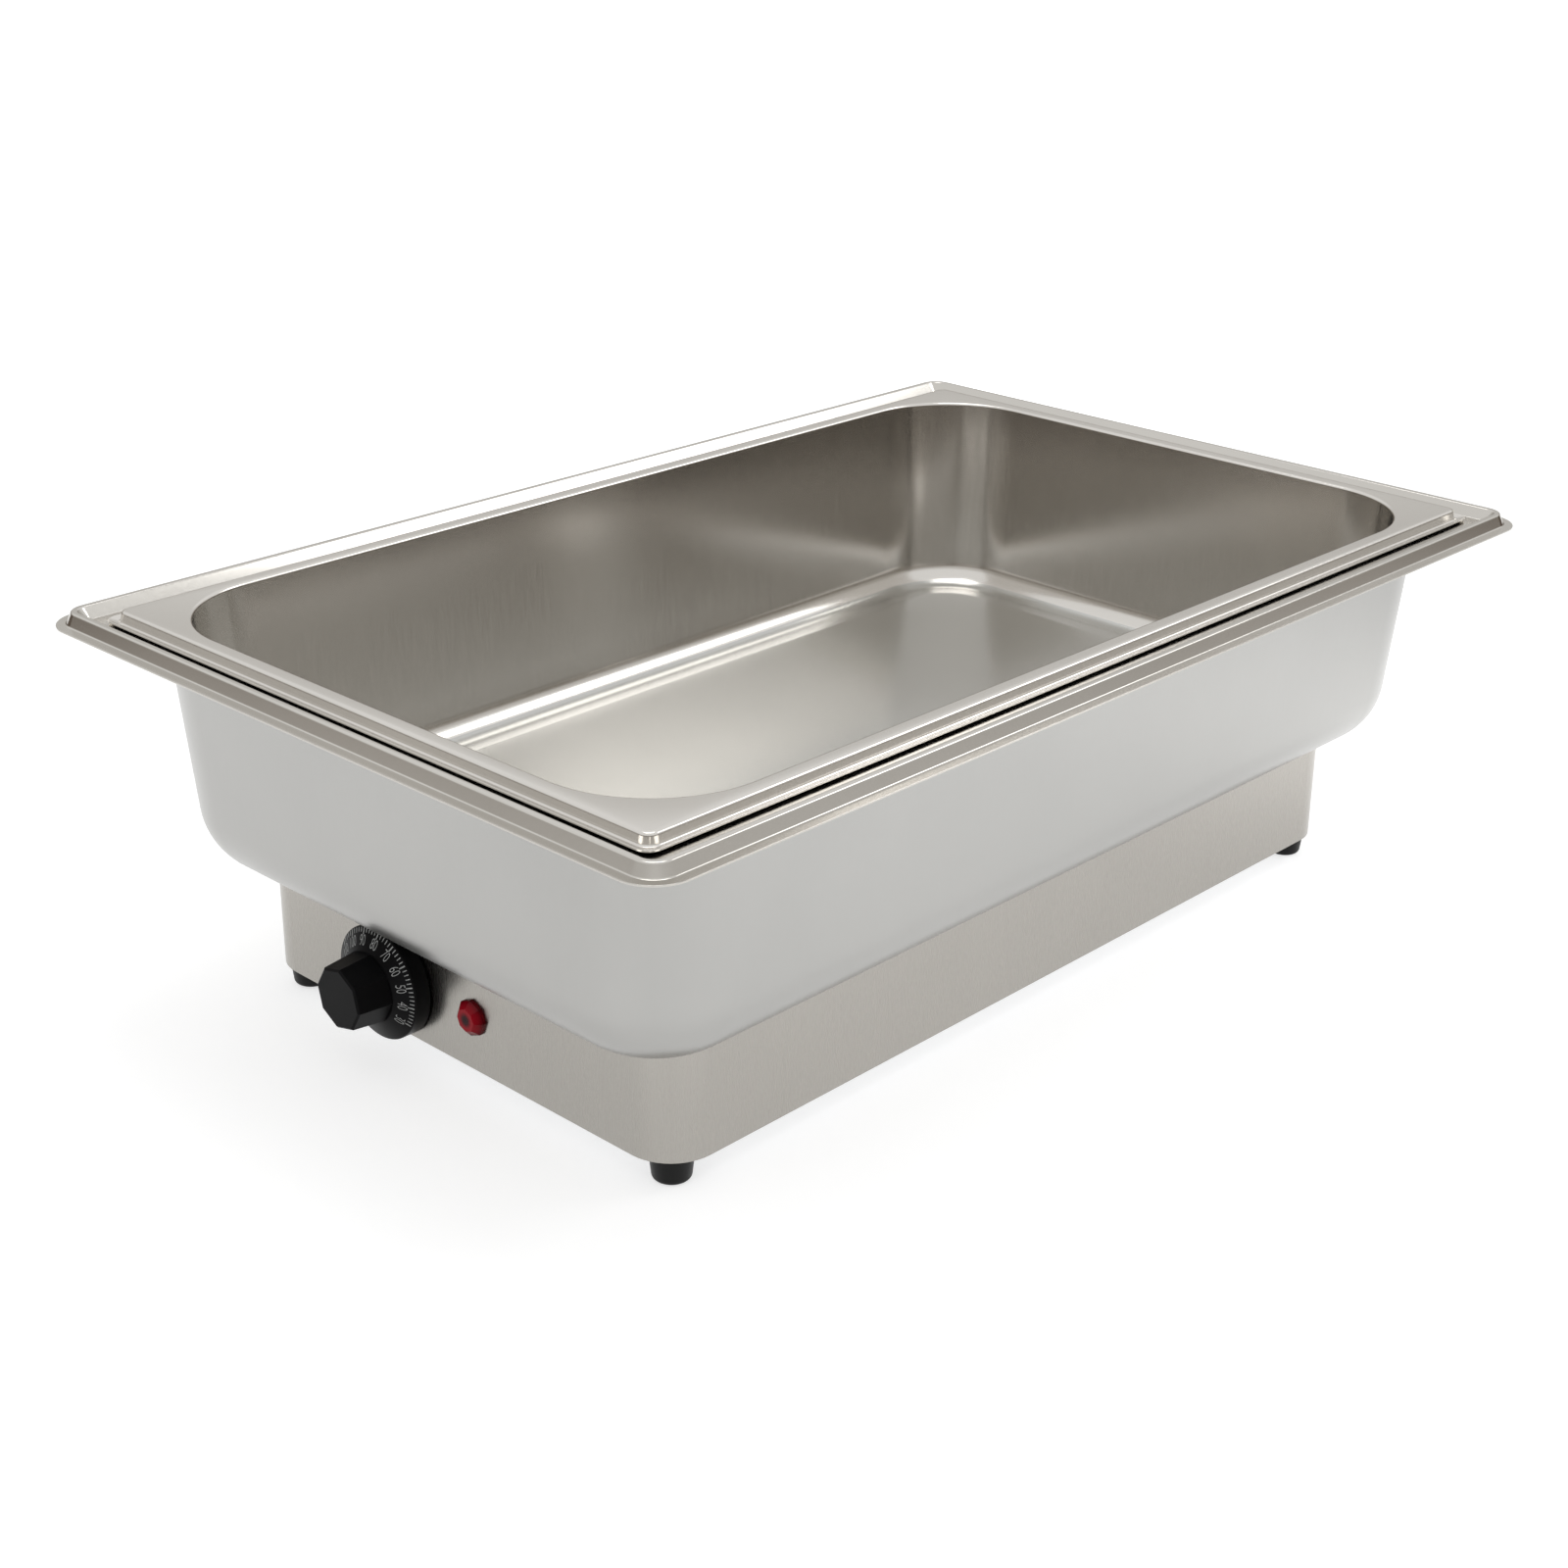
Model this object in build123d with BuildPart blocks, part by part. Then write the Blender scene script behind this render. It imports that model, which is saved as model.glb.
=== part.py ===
"""Electric food warmer tray: a gastronorm food pan in a heated water pan on a control base.

Millimetres, +Z up, floor at zero. The control panel faces -Y and the long side runs along Y.
"""

from build123d import *
from math import atan, cos, degrees, radians, sin, tan
import os

os.makedirs("parts", exist_ok=True)

# ------------------------------------------------------------------ food pan, gastronorm 1/1
FOOD_SHEET = 0.8
FOOD_WIDTH = 325.0
FOOD_LENGTH = 530.0
FOOD_DEPTH = 100.0
FOOD_LIP = 3.6
FOOD_LIP_CORNER = 6.0
FOOD_SKIRT_DROP = 4.6
FOOD_SKIRT_RUN = 0.5
FOOD_FLANGE = 8.0
FOOD_OPENING_CORNER = 50.0
FOOD_DRAFT = 3.2
FOOD_FLOOR_FILLET = 12.0
FOOD_BEND = 1.4
FOOD_PANEL_INSET = 9.0
FOOD_PANEL_RISE = 1.2
FOOD_PANEL_DRAFT = 45.0
FOOD_RIM = 2 * (FOOD_LIP + FOOD_SKIRT_RUN + FOOD_FLANGE)

# ------------------------------------------------------------------ heights
FLOOR_GAP = 12.2
BASE_HEIGHT = 48.6
WATER_LAYER = 12.9
PAN_UNDERSIDE = FLOOR_GAP + BASE_HEIGHT
FOOD_FLOOR = PAN_UNDERSIDE + WATER_LAYER
FOOD_TOP = FOOD_FLOOR + FOOD_DEPTH
SHELF = FOOD_TOP - FOOD_SKIRT_DROP - FOOD_SHEET

# ------------------------------------------------------------------ water pan
WATER_SHEET = 0.8
STEP_SIDE_GAP = 10.3
STEP_END_GAP = 7.1
SHELF_SIDE = 14.5
SHELF_END = 11.3
STEP_WIDTH = FOOD_WIDTH + 2 * STEP_SIDE_GAP
STEP_LENGTH = FOOD_LENGTH + 2 * STEP_END_GAP
WATER_WIDTH = STEP_WIDTH - 2 * SHELF_SIDE
WATER_LENGTH = STEP_LENGTH - 2 * SHELF_END
WATER_CORNER = 50.0
WATER_DRAFT = 5.2
WATER_FILLET = 32.0
WATER_BEND = 1.6
WATER_SEAM = 2.0
STEP_CORNER = 5.6
STEP_HEIGHT = 4.7
RIDGE_TOP = 3.4
RIDGE_BEND = 0.9
RIDGE_RUN = 1.8
RIDGE_DROP = 5.2
WATER_LIP = 4.8
WATER_LIP_CORNER = 16.7
RIDGE = SHELF + STEP_HEIGHT
WATER_LIP_TOP = RIDGE - RIDGE_DROP
WATER_LIP_UNDER = WATER_LIP_TOP - WATER_SHEET

# ------------------------------------------------------------------ base housing
BASE_SIDE_SETBACK = 30.8
BASE_END_SETBACK = 37.8
BASE_WIDTH = WATER_WIDTH - 2 * BASE_SIDE_SETBACK
BASE_LENGTH = WATER_LENGTH - 2 * BASE_END_SETBACK
BASE_CORNER = 21.0
BASE_SHEET = 1.0
SCRIBE_GAP = 0.2
WALL_RISE = WATER_FILLET / 4
FLANGE_WIDTH = 26.0
FLANGE_INSET = 1.5
COVER_SHEET = 0.8
COVER_GAP = 0.5
COVER_SCREW_PITCH = 130.0
FLANGE_UNDER = FLOOR_GAP + FLANGE_INSET
FLANGE_UPPER = FLANGE_UNDER + BASE_SHEET
COVER_UNDER = FLANGE_UNDER - COVER_SHEET
INNER_WIDTH = BASE_WIDTH - 2 * BASE_SHEET
INNER_LENGTH = BASE_LENGTH - 2 * BASE_SHEET
PANEL = -BASE_LENGTH / 2
PANEL_INSIDE = PANEL + BASE_SHEET
REAR = BASE_LENGTH / 2
REAR_INSIDE = REAR - BASE_SHEET
VENT_WIDTH = 3.0
VENT_LENGTH = 46.0
VENT_PITCH = 9.0
VENTS_PER_ROW = 9
VENT_ROWS = 2
VENT_ROW_PITCH = 150.0

# ------------------------------------------------------------------ threads and their heads
M3 = 3.0
M4 = 4.0
M5 = 5.0
M6 = 6.0
HOLE_GAP = 0.25
HEAD_RATIO = 1.9
HEAD_DEPTH_RATIO = 0.6
NUT_RATIO = 1.75
NUT_DEPTH_RATIO = 0.8

# ------------------------------------------------------------------ feet
FOOT_INSET = 13.8
FOOT_TOP_RADIUS = 9.2
FOOT_BOTTOM_RADIUS = 7.8
FOOT_EDGE = 1.0
FOOT_SEAT = 4.0
FOOT_SEAT_GAP = 0.4
FOOT_X = BASE_WIDTH / 2 - FOOT_INSET
FOOT_Y = BASE_LENGTH / 2 - FOOT_INSET

# ------------------------------------------------------------------ cross rails and studs
RAIL_SETBACK = 51.0
RAIL_Y = BASE_LENGTH / 2 - RAIL_SETBACK
RAIL_WIDTH = 22.0
RAIL_SHEET = 1.5
RAIL_SIDE = 8.0
RAIL_TAB = 15.0
RAIL_SIDE_END = 14.0
STUD_X = 90.0
STUD_LENGTH = 13.0

# ------------------------------------------------------------------ heater under the pan
PLATE_MARGIN = 36.0
PLATE_WIDTH = BASE_WIDTH - 2 * PLATE_MARGIN
PLATE_LENGTH = 2 * (RAIL_Y - PLATE_MARGIN)
PLATE_THICKNESS = 2.0
PLATE_CORNER = 8.0
TUBE_DIAMETER = 7.0
TUBE_SIDE_MARGIN = 22.0
TUBE_END_MARGIN = 30.0
TUBE_TAIL_MARGIN = 2.0
TUBE_SIDE = PLATE_WIDTH / 2 - TUBE_SIDE_MARGIN
TUBE_END = PLATE_LENGTH / 2 - TUBE_END_MARGIN
TUBE_TAIL = PLATE_LENGTH / 2 - TUBE_TAIL_MARGIN
TUBE_LEG = 18.0
TUBE_BEND = 13.0
PIN_DIAMETER = 3.0
PIN_LENGTH = 9.0
CLAMP_OVERHANG = 10.0
CLAMP_LENGTH = 2 * (TUBE_SIDE + CLAMP_OVERHANG)
CLAMP_WIDTH = 16.0
CLAMP_SHEET = 1.5
CLAMP_STUD_TAIL = 5.5
PLATE_UNDER = PAN_UNDERSIDE - PLATE_THICKNESS
TUBE_Z = PLATE_UNDER - TUBE_DIAMETER / 2
CLAMP_UPPER = PLATE_UNDER - TUBE_DIAMETER
CLAMP_UNDER = CLAMP_UPPER - CLAMP_SHEET

# ------------------------------------------------------------------ heat shield and insulation
SHIELD_SHEET = 0.8
SHIELD_FLOOR = 33.0
SHIELD_MARGIN = 3.5
SHIELD_WIDTH = PLATE_WIDTH + 2 * SHIELD_MARGIN
SHIELD_WALL_TOP = 58.0
SHIELD_NOTCH = 76.0
MAT_THICKNESS = 10.0
MAT_GAP = 1.0
SHIELD_SCREW_X = 60.0
SHIELD_Y = RAIL_Y - RAIL_WIDTH / 2

# ------------------------------------------------------------------ thermostat
DIAL_X = -36.0
DIAL_Z = 35.9
CASE_WIDTH = 36.0
CASE_HEIGHT = 33.0
CASE_DEPTH = 24.0
BRACKET_OVERHANG = 2.0
BRACKET_WIDTH = CASE_WIDTH + 2 * BRACKET_OVERHANG
BRACKET_HEIGHT = 30.0
BRACKET_SHEET = 1.2
BUSH_RADIUS = 4.8
BUSH_PROUD = 2.0
SHAFT_RADIUS = 3.0
SHAFT_FLAT = 1.6
SHAFT_PROUD = 18.0
SHAFT_SEAT = 5.0
SHAFT_CLEARANCE = 0.05
SCREW_EDGE = 4.0
SCREW_SPACING = CASE_WIDTH - 2 * SCREW_EDGE
BLADE_WIDTH = 6.3
BLADE_SHEET = 0.8
BLADE_LENGTH = 8.0
BLADE_PITCH = 11.0

# ------------------------------------------------------------------ knob
KNOB_GAP = 0.8
DIAL_RADIUS = 24.7
DIAL_DEPTH = 7.5
DIAL_RISE = 4.4
DIAL_EDGE = 0.8
DIAL_WALL = 2.0
GRIP_SIDES = 8
GRIP_ROOT = 15.5
GRIP_FACE = 13.9
GRIP_LENGTH = 15.9
GRIP_TURN = 36.6
GRIP_CHAMFER = 0.8
BOSS_RADIUS = 5.6
BOSS_GAP = 0.7
CLIP_SHEET = 0.6
CLIP_WIDTH = 2.6
CLIP_SLOT = 2.0

# ------------------------------------------------------------------ indicator lamp
LAMP_X = 14.6
LAMP_Z = 36.2
LENS_RADIUS = 7.9
LENS_TOP_RADIUS = 5.0
LENS_RIM = 1.4
LENS_PROUD = 4.1
LENS_SIDES = 8
LENS_WALL = 1.0
BARREL_RADIUS = 4.8
BARREL_DEPTH = 22.0
LAMP_NUT_SIZE = 15.0
LAMP_NUT_DEPTH = 4.0
LAMP_BLADE_WIDTH = 2.8
LAMP_BLADE_PITCH = 5.0

# ------------------------------------------------------------------ sensor bulb and thermal cut-out
BULB_DIAMETER = 6.0
BULB_X = 32.0
CAPILLARY_DIAMETER = 1.6
STRAP_SHEET = 0.6
STRAP_WIDTH = 8.0
STRAP_FOOT = 6.0
CLAMP_SETBACK = 44.0
CLAMP_Y = TUBE_END - CLAMP_SETBACK
BULB_CLEARANCE = 20.0
BULB_LENGTH = 2 * (CLAMP_Y - BULB_CLEARANCE)
STRAP_PITCH = 2 * BULB_LENGTH / 3
CAPILLARY_BEND = 9.0
CUTOUT_SETBACK = 18.0
CUTOUT_Y = CUTOUT_SETBACK - TUBE_END
CUTOUT_RADIUS = 8.0
CUTOUT_DEPTH = 8.0
CUTOUT_FLANGE = 0.6
CUTOUT_FLANGE_LENGTH = 32.0
CUTOUT_FLANGE_WIDTH = 10.0
CUTOUT_SPACING = 24.0
CUTOUT_SCREW_DEPTH = 1.5
CUTOUT_BLADE_PITCH = 8.5
CUTOUT_BLADE_DROP = 2.2

# ------------------------------------------------------------------ mains terminals, gland and wires
BLOCK_X = 44.0
BLOCK_SETBACK = 16.0
BLOCK_Y = REAR_INSIDE - BLOCK_SETBACK
BLOCK_LENGTH = 52.0
BLOCK_WIDTH = 14.0
BLOCK_HEIGHT = 16.0
BLOCK_POLES = 4
BLOCK_PITCH = 12.0
POLE_HEIGHT = 9.0
POLE_SCREW_OFFSET = 4.0
POLE_SCREW_TOP = 3.0
GLAND_SETBACK = 36.5
GLAND_X = BASE_WIDTH / 2 - GLAND_SETBACK
GLAND_Z = 36.0
GLAND_RADIUS = 8.0
GLAND_HEAD = 11.0
GLAND_HEAD_DEPTH = 7.0
GLAND_EDGE = 1.5
GLAND_TAIL = 14.0
GLAND_BORE = 4.0
GLAND_NUT = 24.0
GLAND_NUT_DEPTH = 4.5
EARTH_X = 4.0
EARTH_LENGTH = 12.0
EARTH_RING_RADIUS = 4.4
EARTH_RING_SHEET = 1.0
WIRE_DIAMETER = 2.4
WIRE_SEAT = 6.0
WIRE_GAP = 0.1
WIRE_STUB = 9.0
WIRE_BEND = 10.0
WIRE_SWAY = 1.5
WIRE_STATIONS = 6
WIRE_END_RUN = 88.0
WIRE_STATION_PITCH = (BASE_LENGTH - 2 * WIRE_END_RUN) / (WIRE_STATIONS - 1)
ARC_SHARE = 0.45


# ------------------------------------------------------------------ shared shapes
def slab(width, length, corner, low, high, mode=Mode.ADD, draft=0.0):
    """Raise a rounded rectangle from low to high, narrowing by the draft angle."""
    with BuildSketch(Plane.XY.offset(low)) as outline:
        RectangleRounded(width, length, corner)
    extrude(outline.sketch, amount=high - low, taper=draft, mode=mode)


def tub(width, length, corner, top, floor, draft, bottom_fillet):
    """Sink a rounded rectangle from top to floor with a draft and a rounded bottom edge."""
    with BuildSketch(Plane(origin=(0, 0, top), z_dir=(0, 0, -1))) as outline:
        RectangleRounded(width, length, corner)
    extrude(outline.sketch, amount=top - floor, taper=draft)
    fillet(edges().group_by(Axis.Z)[0], bottom_fillet)


def pegs(points, radius, low, high, mode=Mode.ADD):
    """Stand round pegs, or cut round holes, at points of the plan."""
    with BuildSketch(Plane.XY.offset(low)) as outline:
        with Locations(*points):
            Circle(radius)
    extrude(outline.sketch, amount=high - low, mode=mode)


def hexagons(points, across_flats, low, high):
    """Stand hexagonal nuts at points of the plan."""
    with BuildSketch(Plane.XY.offset(low)) as outline:
        with Locations(*points):
            RegularPolygon(across_flats / 2, 6, major_radius=False)
    extrude(outline.sketch, amount=high - low)


def panel_plane(x, y, z):
    """Return a plane that looks out of the control panel, with X to the right."""
    return Plane(origin=(x, y, z), x_dir=(1, 0, 0), z_dir=(0, -1, 0))


def disc(x, z, radius, start, end, mode=Mode.ADD):
    """Add or cut a cylinder along Y between two depths, start being the inner one."""
    with BuildSketch(panel_plane(x, start, z)) as outline:
        Circle(radius)
    extrude(outline.sketch, amount=start - end, mode=mode)


def cone(x, z, radii, start, end, mode=Mode.ADD):
    """Add or cut a cone along Y between two depths, with its radius at each of them."""
    with BuildSketch(panel_plane(x, start, z)) as wide:
        Circle(radii[0])
    with BuildSketch(panel_plane(x, end, z)) as narrow:
        Circle(radii[1])
    loft([wide.sketch, narrow.sketch], mode=mode)


def block(x_range, y_range, z_range, mode=Mode.ADD):
    """Add or cut a box given by its limits along each axis."""
    centre = [(low + high) / 2 for low, high in (x_range, y_range)]
    with BuildSketch(Plane.XY.offset(z_range[0])) as outline:
        with Locations(tuple(centre)):
            Rectangle(x_range[1] - x_range[0], y_range[1] - y_range[0])
    extrude(outline.sketch, amount=z_range[1] - z_range[0], mode=mode)


def tangent_radii(points):
    """Return the largest arc radius that each inner corner of a route leaves room for."""
    vectors = [Vector(*point) for point in points]
    radii = []
    for before, corner, after in zip(vectors, vectors[1:], vectors[2:]):
        run_in = corner - before
        run_out = after - corner
        half_turn = radians(run_in.get_angle(run_out)) / 2
        radii.append(ARC_SHARE * min(run_in.length, run_out.length) * cos(half_turn) / sin(half_turn))
    return radii


def lead(points, diameter):
    """Sweep a round lead along straight runs joined by tangent arcs."""
    with BuildLine() as route:
        FilletPolyline(*points, radius=tangent_radii(points))
    start = Plane(origin=route.line @ 0, z_dir=route.line % 0)
    with BuildSketch(start) as section:
        Circle(diameter / 2)
    sweep(section.sketch, path=route.line)


def screw_up(points, thread, seat, tip):
    """Drive pan-head screws upward: the head sits under seat and the shank ends at tip."""
    pegs(points, thread * HEAD_RATIO / 2, seat - thread * HEAD_DEPTH_RATIO, seat)
    pegs(points, thread / 2, seat, tip)


def ring_nuts(points, thread, low):
    """Set hexagonal nuts with their underside at low, each with a threaded bore."""
    hexagons(points, thread * NUT_RATIO, low, low + thread * NUT_DEPTH_RATIO)
    pegs(points, thread / 2, low, low + thread * NUT_DEPTH_RATIO, Mode.SUBTRACT)


# ------------------------------------------------------------------ food pan
SKIRT_FOOT_WIDTH = FOOD_WIDTH - 2 * FOOD_LIP
SKIRT_FOOT_LENGTH = FOOD_LENGTH - 2 * FOOD_LIP
SKIRT_CORNER = FOOD_LIP_CORNER - FOOD_SKIRT_RUN
FOOD_SKIRT_DRAFT = degrees(atan(FOOD_SKIRT_RUN / FOOD_SKIRT_DROP))
FOOD_OPENING_WIDTH = FOOD_WIDTH - FOOD_RIM
FOOD_OPENING_LENGTH = FOOD_LENGTH - FOOD_RIM

with BuildPart() as food_cavity:
    tub(FOOD_OPENING_WIDTH, FOOD_OPENING_LENGTH, FOOD_OPENING_CORNER, FOOD_TOP,
        FOOD_FLOOR + FOOD_SHEET, FOOD_DRAFT, FOOD_FLOOR_FILLET)
FLOOR_SIDE = 2 * (FOOD_DEPTH * tan(radians(FOOD_DRAFT)) + FOOD_FLOOR_FILLET + FOOD_PANEL_INSET)
PANEL_WIDTH = FOOD_OPENING_WIDTH - FLOOR_SIDE
PANEL_LENGTH = FOOD_OPENING_LENGTH - FLOOR_SIDE
PANEL_CORNER = FOOD_OPENING_CORNER - FLOOR_SIDE / 2

with BuildPart() as food_tub:
    tub(FOOD_OPENING_WIDTH + 2 * FOOD_SHEET, FOOD_OPENING_LENGTH + 2 * FOOD_SHEET,
        FOOD_OPENING_CORNER + FOOD_SHEET, FOOD_TOP, FOOD_FLOOR, FOOD_DRAFT,
        FOOD_FLOOR_FILLET + FOOD_SHEET)

with BuildPart() as food_rim_hollow:
    slab(SKIRT_FOOT_WIDTH - 2 * FOOD_SHEET, SKIRT_FOOT_LENGTH - 2 * FOOD_SHEET, SKIRT_CORNER - FOOD_SHEET,
         SHELF, FOOD_TOP - FOOD_SHEET, draft=FOOD_SKIRT_DRAFT)
    fillet(edges().group_by(Axis.Z)[-1], FOOD_BEND - FOOD_SHEET)

with BuildPart() as food_pan:
    slab(SKIRT_FOOT_WIDTH, SKIRT_FOOT_LENGTH, SKIRT_CORNER, SHELF, FOOD_TOP, draft=FOOD_SKIRT_DRAFT)
    fillet(edges().group_by(Axis.Z)[-1], FOOD_BEND)
    slab(FOOD_WIDTH, FOOD_LENGTH, FOOD_LIP_CORNER, SHELF, SHELF + FOOD_SHEET)
    add(food_rim_hollow.part, mode=Mode.SUBTRACT)
    add(food_tub.part)
    add(food_cavity.part, mode=Mode.SUBTRACT)
    fillet(faces().sort_by(Axis.Z)[-1].inner_wires()[0].edges(), FOOD_BEND)
    slab(PANEL_WIDTH, PANEL_LENGTH, PANEL_CORNER, FOOD_FLOOR + FOOD_SHEET,
         FOOD_FLOOR + FOOD_SHEET + FOOD_PANEL_RISE, draft=FOOD_PANEL_DRAFT)
    slab(PANEL_WIDTH - FOOD_SHEET, PANEL_LENGTH - FOOD_SHEET, PANEL_CORNER, FOOD_FLOOR,
         FOOD_FLOOR + FOOD_PANEL_RISE, Mode.SUBTRACT, draft=FOOD_PANEL_DRAFT)
food_pan.part.label = "food_pan"
export_step(food_pan.part, "parts/food_pan.step")

# ------------------------------------------------------------------ water pan
RIDGE_WIDTH = STEP_WIDTH + 2 * RIDGE_TOP
RIDGE_LENGTH = STEP_LENGTH + 2 * RIDGE_TOP
RIDGE_CORNER = STEP_CORNER + RIDGE_TOP
RIDGE_FOOT_WIDTH = RIDGE_WIDTH + 2 * RIDGE_RUN
RIDGE_FOOT_LENGTH = RIDGE_LENGTH + 2 * RIDGE_RUN
RIDGE_FOOT_CORNER = RIDGE_CORNER + RIDGE_RUN
RIDGE_DRAFT = degrees(atan(RIDGE_RUN / RIDGE_DROP))
WATER_LIP_WIDTH = RIDGE_FOOT_WIDTH + 2 * WATER_LIP
WATER_LIP_LENGTH = RIDGE_FOOT_LENGTH + 2 * WATER_LIP

with BuildPart() as water_cavity:
    tub(WATER_WIDTH - 2 * WATER_SHEET, WATER_LENGTH - 2 * WATER_SHEET, WATER_CORNER - WATER_SHEET, SHELF,
        PAN_UNDERSIDE + WATER_SHEET, WATER_DRAFT, WATER_FILLET - WATER_SHEET)

with BuildPart() as water_tub:
    tub(WATER_WIDTH, WATER_LENGTH, WATER_CORNER, SHELF, PAN_UNDERSIDE, WATER_DRAFT, WATER_FILLET)

with BuildPart() as rim_hollow:
    slab(RIDGE_FOOT_WIDTH - 2 * WATER_SHEET, RIDGE_FOOT_LENGTH - 2 * WATER_SHEET,
         RIDGE_FOOT_CORNER - WATER_SHEET, WATER_LIP_TOP, RIDGE - WATER_SHEET, draft=RIDGE_DRAFT)
    slab(RIDGE_FOOT_WIDTH - 2 * WATER_SHEET, RIDGE_FOOT_LENGTH - 2 * WATER_SHEET,
         RIDGE_FOOT_CORNER - WATER_SHEET, WATER_LIP_UNDER, WATER_LIP_TOP)
    slab(STEP_WIDTH + 2 * WATER_SHEET, STEP_LENGTH + 2 * WATER_SHEET, STEP_CORNER + WATER_SHEET,
         SHELF - WATER_SHEET, RIDGE, Mode.SUBTRACT)

with BuildPart() as water_shell:
    slab(RIDGE_FOOT_WIDTH, RIDGE_FOOT_LENGTH, RIDGE_FOOT_CORNER, WATER_LIP_TOP, RIDGE, draft=RIDGE_DRAFT)
    slab(STEP_WIDTH, STEP_LENGTH, STEP_CORNER, SHELF, RIDGE, Mode.SUBTRACT)
    fillet(edges().group_by(Axis.Z)[-1], RIDGE_BEND)
    slab(WATER_LIP_WIDTH, WATER_LIP_LENGTH, WATER_LIP_CORNER, WATER_LIP_UNDER, WATER_LIP_TOP)
    add(rim_hollow.part, mode=Mode.SUBTRACT)
    add(water_tub.part)
    add(water_cavity.part, mode=Mode.SUBTRACT)
    shelf_level = (SHELF - WATER_SHEET / 2, SHELF + WATER_SHEET / 2)
    shelf_face = faces().filter_by_position(Axis.Z, *shelf_level).sort_by(SortBy.AREA)[-1]
    fillet(shelf_face.inner_wires()[0].edges(), WATER_BEND)

SEAM = (WATER_WIDTH + 2 * WATER_SEAM, WATER_LENGTH + 2 * WATER_SEAM, WATER_CORNER + WATER_SEAM)

with BuildPart() as water_rim:
    add(water_shell.part)
    slab(*SEAM, PAN_UNDERSIDE, RIDGE, Mode.SUBTRACT)
water_rim.part.label = "water_rim"
export_step(water_rim.part, "parts/water_rim.step")

with BuildPart() as water_pan:
    add(water_shell.part)
    slab(*SEAM, PAN_UNDERSIDE, RIDGE, Mode.INTERSECT)
water_pan.part.label = "water_pan"
export_step(water_pan.part, "parts/water_pan.step")

# ------------------------------------------------------------------ base housing
FOOT_POINTS = [(x, y) for y in (-FOOT_Y, FOOT_Y) for x in (-FOOT_X, FOOT_X)]
FLANGE_MIDDLE = INNER_WIDTH / 2 - FLANGE_WIDTH / 2
COVER_SCREW_POINTS = [
    (x, row * COVER_SCREW_PITCH) for x in (-FLANGE_MIDDLE, FLANGE_MIDDLE) for row in (-1, 0, 1)
]

with BuildPart() as pan_envelope:
    tub(WATER_WIDTH + 2 * SCRIBE_GAP, WATER_LENGTH + 2 * SCRIBE_GAP, WATER_CORNER + SCRIBE_GAP, SHELF,
        PAN_UNDERSIDE - SCRIBE_GAP, WATER_DRAFT, WATER_FILLET + SCRIBE_GAP)

with BuildPart() as base_housing:
    slab(BASE_WIDTH, BASE_LENGTH, BASE_CORNER, FLOOR_GAP, PAN_UNDERSIDE + WALL_RISE)
    slab(INNER_WIDTH, INNER_LENGTH, BASE_CORNER - BASE_SHEET, FLOOR_GAP, PAN_UNDERSIDE + WALL_RISE,
         Mode.SUBTRACT)
    add(pan_envelope.part, mode=Mode.SUBTRACT)
    disc(DIAL_X, DIAL_Z, BUSH_RADIUS + HOLE_GAP, PANEL_INSIDE, PANEL, Mode.SUBTRACT)
    for side in (-1, 1):
        disc(DIAL_X + side * SCREW_SPACING / 2, DIAL_Z, M4 / 2 + HOLE_GAP, PANEL_INSIDE, PANEL,
             Mode.SUBTRACT)
    disc(LAMP_X, LAMP_Z, BARREL_RADIUS + HOLE_GAP, PANEL_INSIDE, PANEL, Mode.SUBTRACT)
    disc(GLAND_X, GLAND_Z, GLAND_RADIUS + HOLE_GAP, REAR, REAR_INSIDE, Mode.SUBTRACT)
base_housing.part.label = "base_housing"
export_step(base_housing.part, "parts/base_housing.step")

with BuildPart() as base_frame:
    slab(INNER_WIDTH, INNER_LENGTH, BASE_CORNER - BASE_SHEET, FLANGE_UNDER, FLANGE_UPPER)
    slab(INNER_WIDTH - 2 * FLANGE_WIDTH, INNER_LENGTH - 2 * FLANGE_WIDTH, BASE_CORNER, FLANGE_UNDER,
         FLANGE_UPPER, Mode.SUBTRACT)
    pegs(FOOT_POINTS, M5 / 2 + HOLE_GAP, FLANGE_UNDER, FLANGE_UPPER, Mode.SUBTRACT)
    pegs(COVER_SCREW_POINTS, M4 / 2 + HOLE_GAP, FLANGE_UNDER, FLANGE_UPPER, Mode.SUBTRACT)
base_frame.part.label = "base_frame"
export_step(base_frame.part, "parts/base_frame.step")

# ------------------------------------------------------------------ bottom cover
with BuildPart() as bottom_cover:
    slab(INNER_WIDTH - 2 * COVER_GAP, INNER_LENGTH - 2 * COVER_GAP, BASE_CORNER - BASE_SHEET - COVER_GAP,
         COVER_UNDER, FLANGE_UNDER)
    pegs(FOOT_POINTS, M5 / 2 + HOLE_GAP, COVER_UNDER, FLANGE_UNDER, Mode.SUBTRACT)
    pegs(COVER_SCREW_POINTS, M4 / 2 + HOLE_GAP, COVER_UNDER, FLANGE_UNDER, Mode.SUBTRACT)
    with BuildSketch(Plane.XY.offset(COVER_UNDER)) as vents:
        with GridLocations(VENT_PITCH, VENT_ROW_PITCH, VENTS_PER_ROW, VENT_ROWS):
            SlotOverall(VENT_LENGTH, VENT_WIDTH, rotation=90)
    extrude(vents.sketch, amount=COVER_SHEET, mode=Mode.SUBTRACT)
bottom_cover.part.label = "bottom_cover"
export_step(bottom_cover.part, "parts/bottom_cover.step")

with BuildPart() as cover_screws:
    screw_up(COVER_SCREW_POINTS, M4, COVER_UNDER, FLANGE_UPPER + M4 * NUT_DEPTH_RATIO)
cover_screws.part.label = "cover_screws"
export_step(cover_screws.part, "parts/cover_screws.step")

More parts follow.
